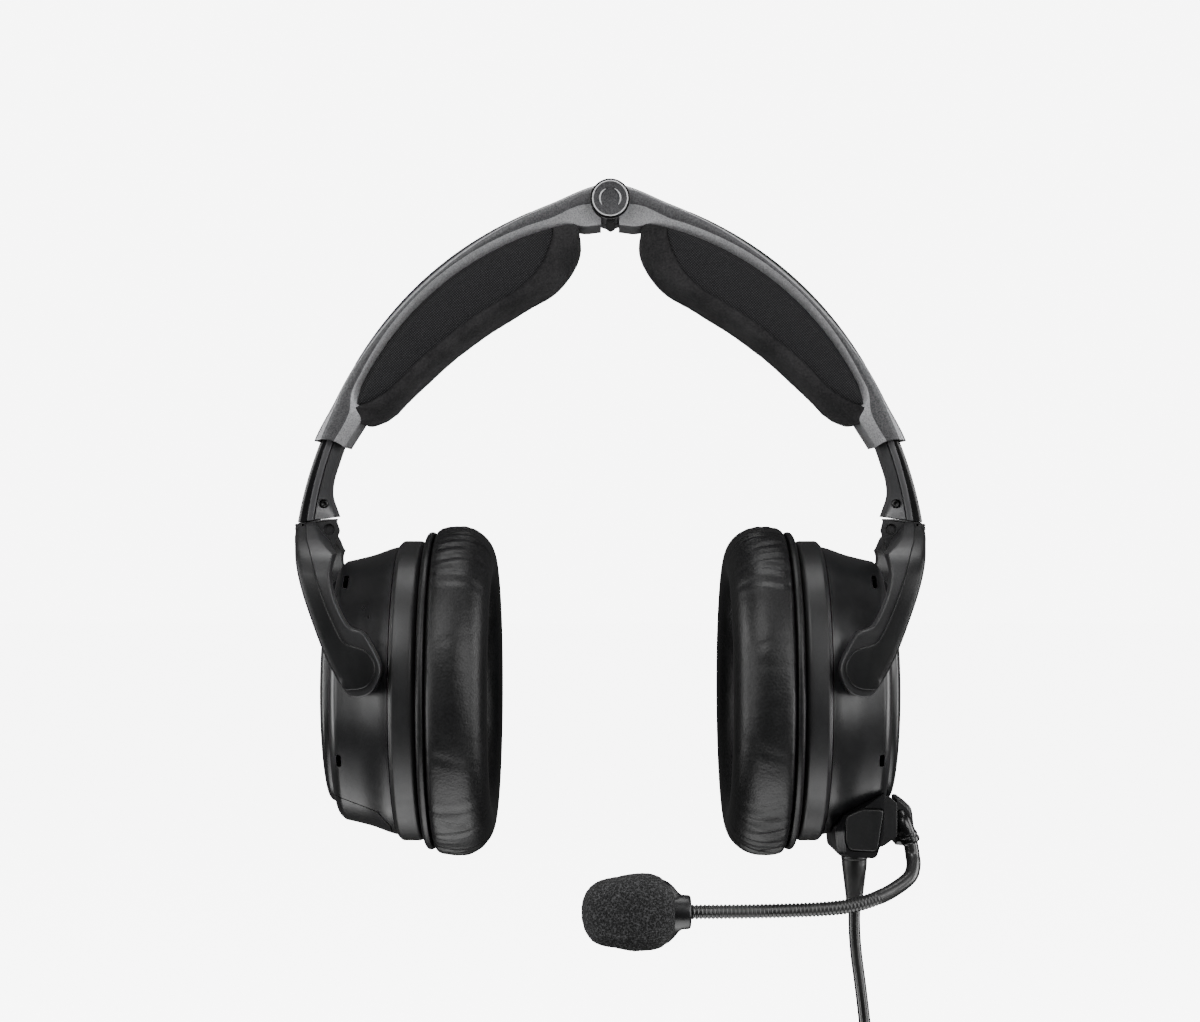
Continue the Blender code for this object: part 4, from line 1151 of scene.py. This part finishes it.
def plate_skin(outline, radii, front_depth, back_depth, steps=4):
    """An outline in the XZ plane with a rounded front edge: (x, depth behind the front, z)."""
    area = sum(a.x * b.y - b.x * a.y for a, b in zip(outline, outline[1:] + outline[:1]))
    turn = 1 if area > 0 else -1
    inward = []
    for before, after in zip(outline[-1:] + outline, outline[1:] + outline[:1]):
        along = (after - before).normalized()
        inward.append(Vector((-along.y, along.x)) * turn)
    rings = [[(x, back_depth, z) for x, z in outline]]
    for k in range(steps + 1):
        angle = math.pi / 2 * k / steps
        ring = []
        for point, way, r in zip(outline, inward, radii):
            x, z = point + way * (r * (1 - math.cos(angle)))
            ring.append((x, front_depth + r * (1 - math.sin(angle)), z))
        rings.append(ring)
    return skin_of(rings)


def bent_plate(name, skin, back_depth, facing, place, look):
    """A plate cut into level strips and bent to the yoke's front and back curves."""
    verts, faces = skin
    mesh = bpy.data.meshes.new(name)
    mesh.from_pydata(verts, [], faces)
    shape = bmesh.new()
    shape.from_mesh(mesh)
    bmesh.ops.remove_doubles(shape, verts=shape.verts, dist=1e-5)
    level, strip = 19.0, 0.8
    while level < 54.5:
        everything = shape.verts[:] + shape.edges[:] + shape.faces[:]
        bmesh.ops.bisect_plane(shape, geom=everything, plane_co=(0, 0, level), plane_no=(0, 0, 1), dist=1e-6)
        level += strip
    for vertex in shape.verts:
        x, depth, z = vertex.co
        y = through(BACK_OF_YOKE, z) if depth > back_depth - 0.01 else through(FRONT_OF_YOKE, z) - depth
        if facing > 0:
            x += through(REAR_SHIFT, z) * (1 - 0.45 * smooth((x - 85) / 11))
        vertex.co = place @ Vector((x, facing * y, z))
    bmesh.ops.recalc_face_normals(shape, faces=shape.faces)
    shape.to_mesh(mesh)
    shape.free()
    mesh.materials.append(look)
    mesh.shade_smooth()
    mesh.set_sharp_from_angle(angle=math.radians(50))
    return put_in_scene(name, mesh)


def build_yoke(looks, side_name, side):
    """The fork: each leg has a raised spoon-shaped face with a lower ledge along its inner side."""
    place = side_place(side, True)
    body = f"yoke_{side_name}"
    edge = spline(YOKE_EDGE, 6) + spline(YOKE_SHOULDER, 6)[1:]
    face = spline(FACE_EDGE, 6)
    outer_count = 6 * 6
    face_radii = [2.0 if i < outer_count else 0.45 for i in range(len(face))]
    back, no_back = 7.0, 99.0
    for end, facing in ENDS:
        plate = plate_skin(edge, [0.7] * len(edge), 1.35, back)
        ledge = bent_plate(f"fork_ledge_{end}_{side_name}", plate, back, facing, place, looks["ledge"])
        settle(ledge, body, [f"yoke_{side_name}"] if facing < 0 else ())
        plate = plate_skin(face, face_radii, 0.0, 3.4)
        spoon = bent_plate(f"fork_face_{end}_{side_name}", plate, no_back, facing, place, looks["yoke"])
        settle(spoon, body, ())
    washer = fillet([(90.0, 55.0), (99.5, 53.8), (99.5, 54.5), (90.0, 55.7)], 0.2, 2)
    new_piece(f"swivel_washer_{side_name}", prism_skin(washer, -12.4, 12.4), place, looks["steel_dark"], body,
              ())

    fore = [(94.0, 54.4), (93.4, 51.5), (91.8, 48.3), (88.5, 45.0), (85.9, 51.9), (87.3, 55.7)]
    aft = [(94.0, 54.4), (93.4, 51.5), (92.2, 48.3), (91.6, 46.5), (89.6, 52.3), (90.2, 55.2)]
    stations = []
    for share in (0.0, 0.5, 1.0):
        outline = [Vector(a).lerp(Vector(b), share) for a, b in zip(fore, aft)]
        stations.append((between(-12.2, 11.5, share), fillet(outline, [0.2, 0.8, 0.8, 0.5, 0.7, 0.5])))
    cap = new_piece(f"fork_cap_{side_name}", stacked_skin(stations), place, looks["ledge"])
    for end, facing in ENDS:
        start = (91.2 if facing > 0 else 89.6, facing * 11.0, 52.3)
        dimple = lathe_skin(start, (0, facing, 0), [(0, 1.35), (0.9, 1.75), (1.0, 1.85), (3.0, 2.0)], 40)
        cut_with(cap, dimple, place)
    add_bevel(cap, 0.25, 3, 40)
    settle(cap, body, [f"yoke_cap_{side_name}"])


# The inner radius of the arm at angles from its foot up
ARM_UNDER = [(9.0, 115.8), (10.5, 117.3), (11.9, 118.8), (13.0, 119.6), (14.9, 120.1), (17.4, 120.0),
             (20.9, 119.95)]


def foot_angle(radius, lift):
    """The angle at which the arm's own arc meets the sloping joint plane."""
    angle = math.radians(8.2)
    for step in range(4):
        x = BAND_CENTRE[0] + radius * math.cos(angle)
        angle = math.asin((54.6 + lift + (100 - x) * JOINT_SLOPE - BAND_CENTRE[1]) / radius)
    return angle


def arc_ring(section, share, top, lift=0.0):
    """A section's points, (radius, y), a share of the way from the foot up to an angle."""
    return [on_arc(BAND_CENTRE, r, between(foot_angle(r, lift), top, share), y) for r, y in section]


def build_arm(looks, side_name, side):
    """The sliding arm: a gloss black back, a grey strip in front of it and the satin inner half."""
    place = side_place(side, False)
    body = f"arm_{side_name}"
    high, steps = 20.9, 44
    top = math.radians(high)
    w, split = 13.0, 122.25
    strip = fillet([(122.55, 0.25 - w), (122.55, w - 0.25), (123.0, w + 0.05), (124.4, w + 0.05),
                    (124.6, w - 0.3), (124.6, 0.3 - w), (124.4, -w - 0.05), (123.0, -w - 0.05)], 0.15, 2)
    back_rings, strip_rings, inner_rings = [], [], []
    for i in range(steps + 1):
        share = i / steps
        outer = between(127.5, 126.4, share)
        back = fillet([(124.6, -w), (124.6, w), (outer - 0.7, w), (outer, w - 0.7), (outer + 0.1, w - 5),
                       (outer + 0.1, 5 - w), (outer, 0.7 - w), (outer - 0.7, -w)],
                      [0.1, 0.1, 0.4, 0.5, 1.5, 1.5, 0.5, 0.4], 3)
        under = through(ARM_UNDER, between(9.0, high, share))
        flank = (split - under) * 0.8
        inner = fillet([(under, -7.0), (under, 7.0), (split - flank, 8.4), (split, w - 0.4), (split, 0.4 - w),
                        (split - flank, -8.4)], [0.9, 0.9, 1.0, 0.2, 0.2, 1.0])
        back_rings.append(arc_ring(back, share, top))
        strip_rings.append(arc_ring(strip, share, top))
        inner_rings.append(arc_ring(inner, share, top, 0.15))
    black = new_piece(f"arm_back_{side_name}", skin_of(back_rings), place, looks["gloss"])
    grey = new_piece(f"arm_strip_{side_name}", skin_of(strip_rings), place, looks["grey"])
    satin = new_piece(f"arm_front_{side_name}", skin_of(inner_rings), place, looks["satin"])
    for end, facing in ENDS:
        cut_with(satin, rod_skin((92.0, facing * 8.0, 60.5), (0, facing, 0), 1.5, 12, 32), place)
    for piece, nodes, slot in ((black, [f"arm_outer_{side_name}"], "black_plastic"),
                               (grey, (), "black_plastic"),
                               (satin, [f"arm_inner_{side_name}"], "satin_grey")):
        add_bevel(piece, 0.2, 2, 40)
        settle(piece, body, nodes)
    for end, facing in ENDS:
        head = lathe_skin((92.0, facing * 8.05, 60.5), (0, facing, 0),
                          [(0, 1.35), (0.7, 1.35), (1.0, 1.1), (1.0, 0.6), (0.45, 0.5), (0.4, 0.05)], 24)
        new_piece(f"arm_screw_{end}_{side_name}", head, place, looks["steel_dark"], body, ())


# ------------------------------------------------------------ hinge and carried-over pieces

def build_hinge_caps(looks):
    """The round caps on the hinge: a rim with a thin bright ring for its polished edge and its painted
    highlight, a grained face, a black ring painted as the shade of the gap round it, and a recess with two
    painted reflections on its wall.
    """
    corners = [(0, 2.0), (0, 5.75), (0.7, 5.75), (1.0, 5.55), (0.8, 5.25), (0.8, 3.45), (0.35, 3.35),
               (0.35, 0.1)]
    button = rounded_profile(corners, 0.15)
    # A black ring round the button: painted shade of the gap between cap and barrel
    painted_gap_shade = rounded_profile([(-0.3, 5.2), (-0.3, 6.4), (0.15, 6.4), (0.15, 5.2)], 0.1)
    loop = [(0.98 + 0.2 * math.cos(c), 5.55 + 0.2 * math.sin(c)) for c in full_turn(12)]
    for end, facing in ENDS:
        def turned(profile):
            return lathe_skin((0, facing * 17.75, HINGE_Z), (0, facing, 0), profile, 96)

        new_piece(f"hinge_button_{end}", turned(button), IN_WORLD, looks["cap"], "hinge_core",
                  [f"hinge_cap_{end}"])
        new_piece(f"hinge_gasket_{end}", turned(painted_gap_shade), IN_WORLD, looks["gloss"], "hinge_core", ())
        # A thin bright ring on the rim: its polished edge and a painted highlight
        verts, faces = turned(loop + loop[:1])
        new_piece(f"hinge_rim_{end}", (verts, faces[:-2]), IN_WORLD, looks["rim"], "hinge_core", ())
        # Two bright arcs at left and right of the recess: painted reflections of its wall
        for name, middle in (("left", math.pi - 0.25), ("right", 0.25)):
            spots = [k / 12 - 1 for k in range(25)]
            bow = [Vector(on_arc((0, HINGE_Z), 3.3, middle + 0.9 * t, facing * 18.47)) for t in spots]
            thick = [0.24 * math.sqrt(max(0.06, 1 - t * t)) for t in spots]
            new_piece(f"hinge_recess_{name}_{end}", skin_of(tube_rings(bow, thick, 12)), IN_WORLD,
                      looks["rim"], "hinge_core", ())
    stop = fillet([(-1.1, 150.9), (0.2, 150.1), (1.7, 150.9), (1.9, 153.4), (-1.3, 153.4)], 0.3, 3)
    new_piece("hinge_stop", prism_skin(stop, -13.5, 13.5), IN_WORLD, looks["steel_dark"], "hinge_core", (),
              bevel=0.2)


def dress_cad(looks):
    """Procedural finishes and rounded edges for the CAD nodes that stay."""
    rules = (
        (("pivot_pin", "swivel_pin"), "steel_dark", 0.15),
        (("hinge_pin", "slider_strip", "driver"), "steel", 0.15),
        (("hinge_spring",), "steel", 0.0),
        (("pad_plate", "baffle"), "bezel", 0.3),
        (("circuit_board",), "board", 0.1),
        (("scrim",), "scrim", 0.0),
    )
    for name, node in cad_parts.items():
        if node.hide_render:
            continue
        for starts, look, edge in rules:
            if not name.startswith(starts):
                continue
            node.data.materials.clear()
            node.data.materials.append(looks[look])
            if "custom_normal" in node.data.attributes:
                node.data.attributes.remove(node.data.attributes["custom_normal"])
            node.data.shade_smooth()
            weld = node.modifiers.new("weld", "WELD")
            weld.merge_threshold = 2e-6
            if edge:
                add_bevel(node, edge, 3, 28)
            break


def main():
    add_camera()
    add_world()
    add_floor()
    add_lights()
    looks = make_looks()
    build_lead(looks)
    build_boom(looks)
    build_hinge_caps(looks)
    for side_name, side in SIDES:
        build_cup(looks, side_name, side)
        build_cushion(looks, side_name, side)
        build_headband(looks, side_name, side)
        build_band_trim(looks, side_name, side)
        build_head_pad(looks, side_name, side)
        build_yoke(looks, side_name, side)
        build_arm(looks, side_name, side)
    dress_cad(looks)


main()
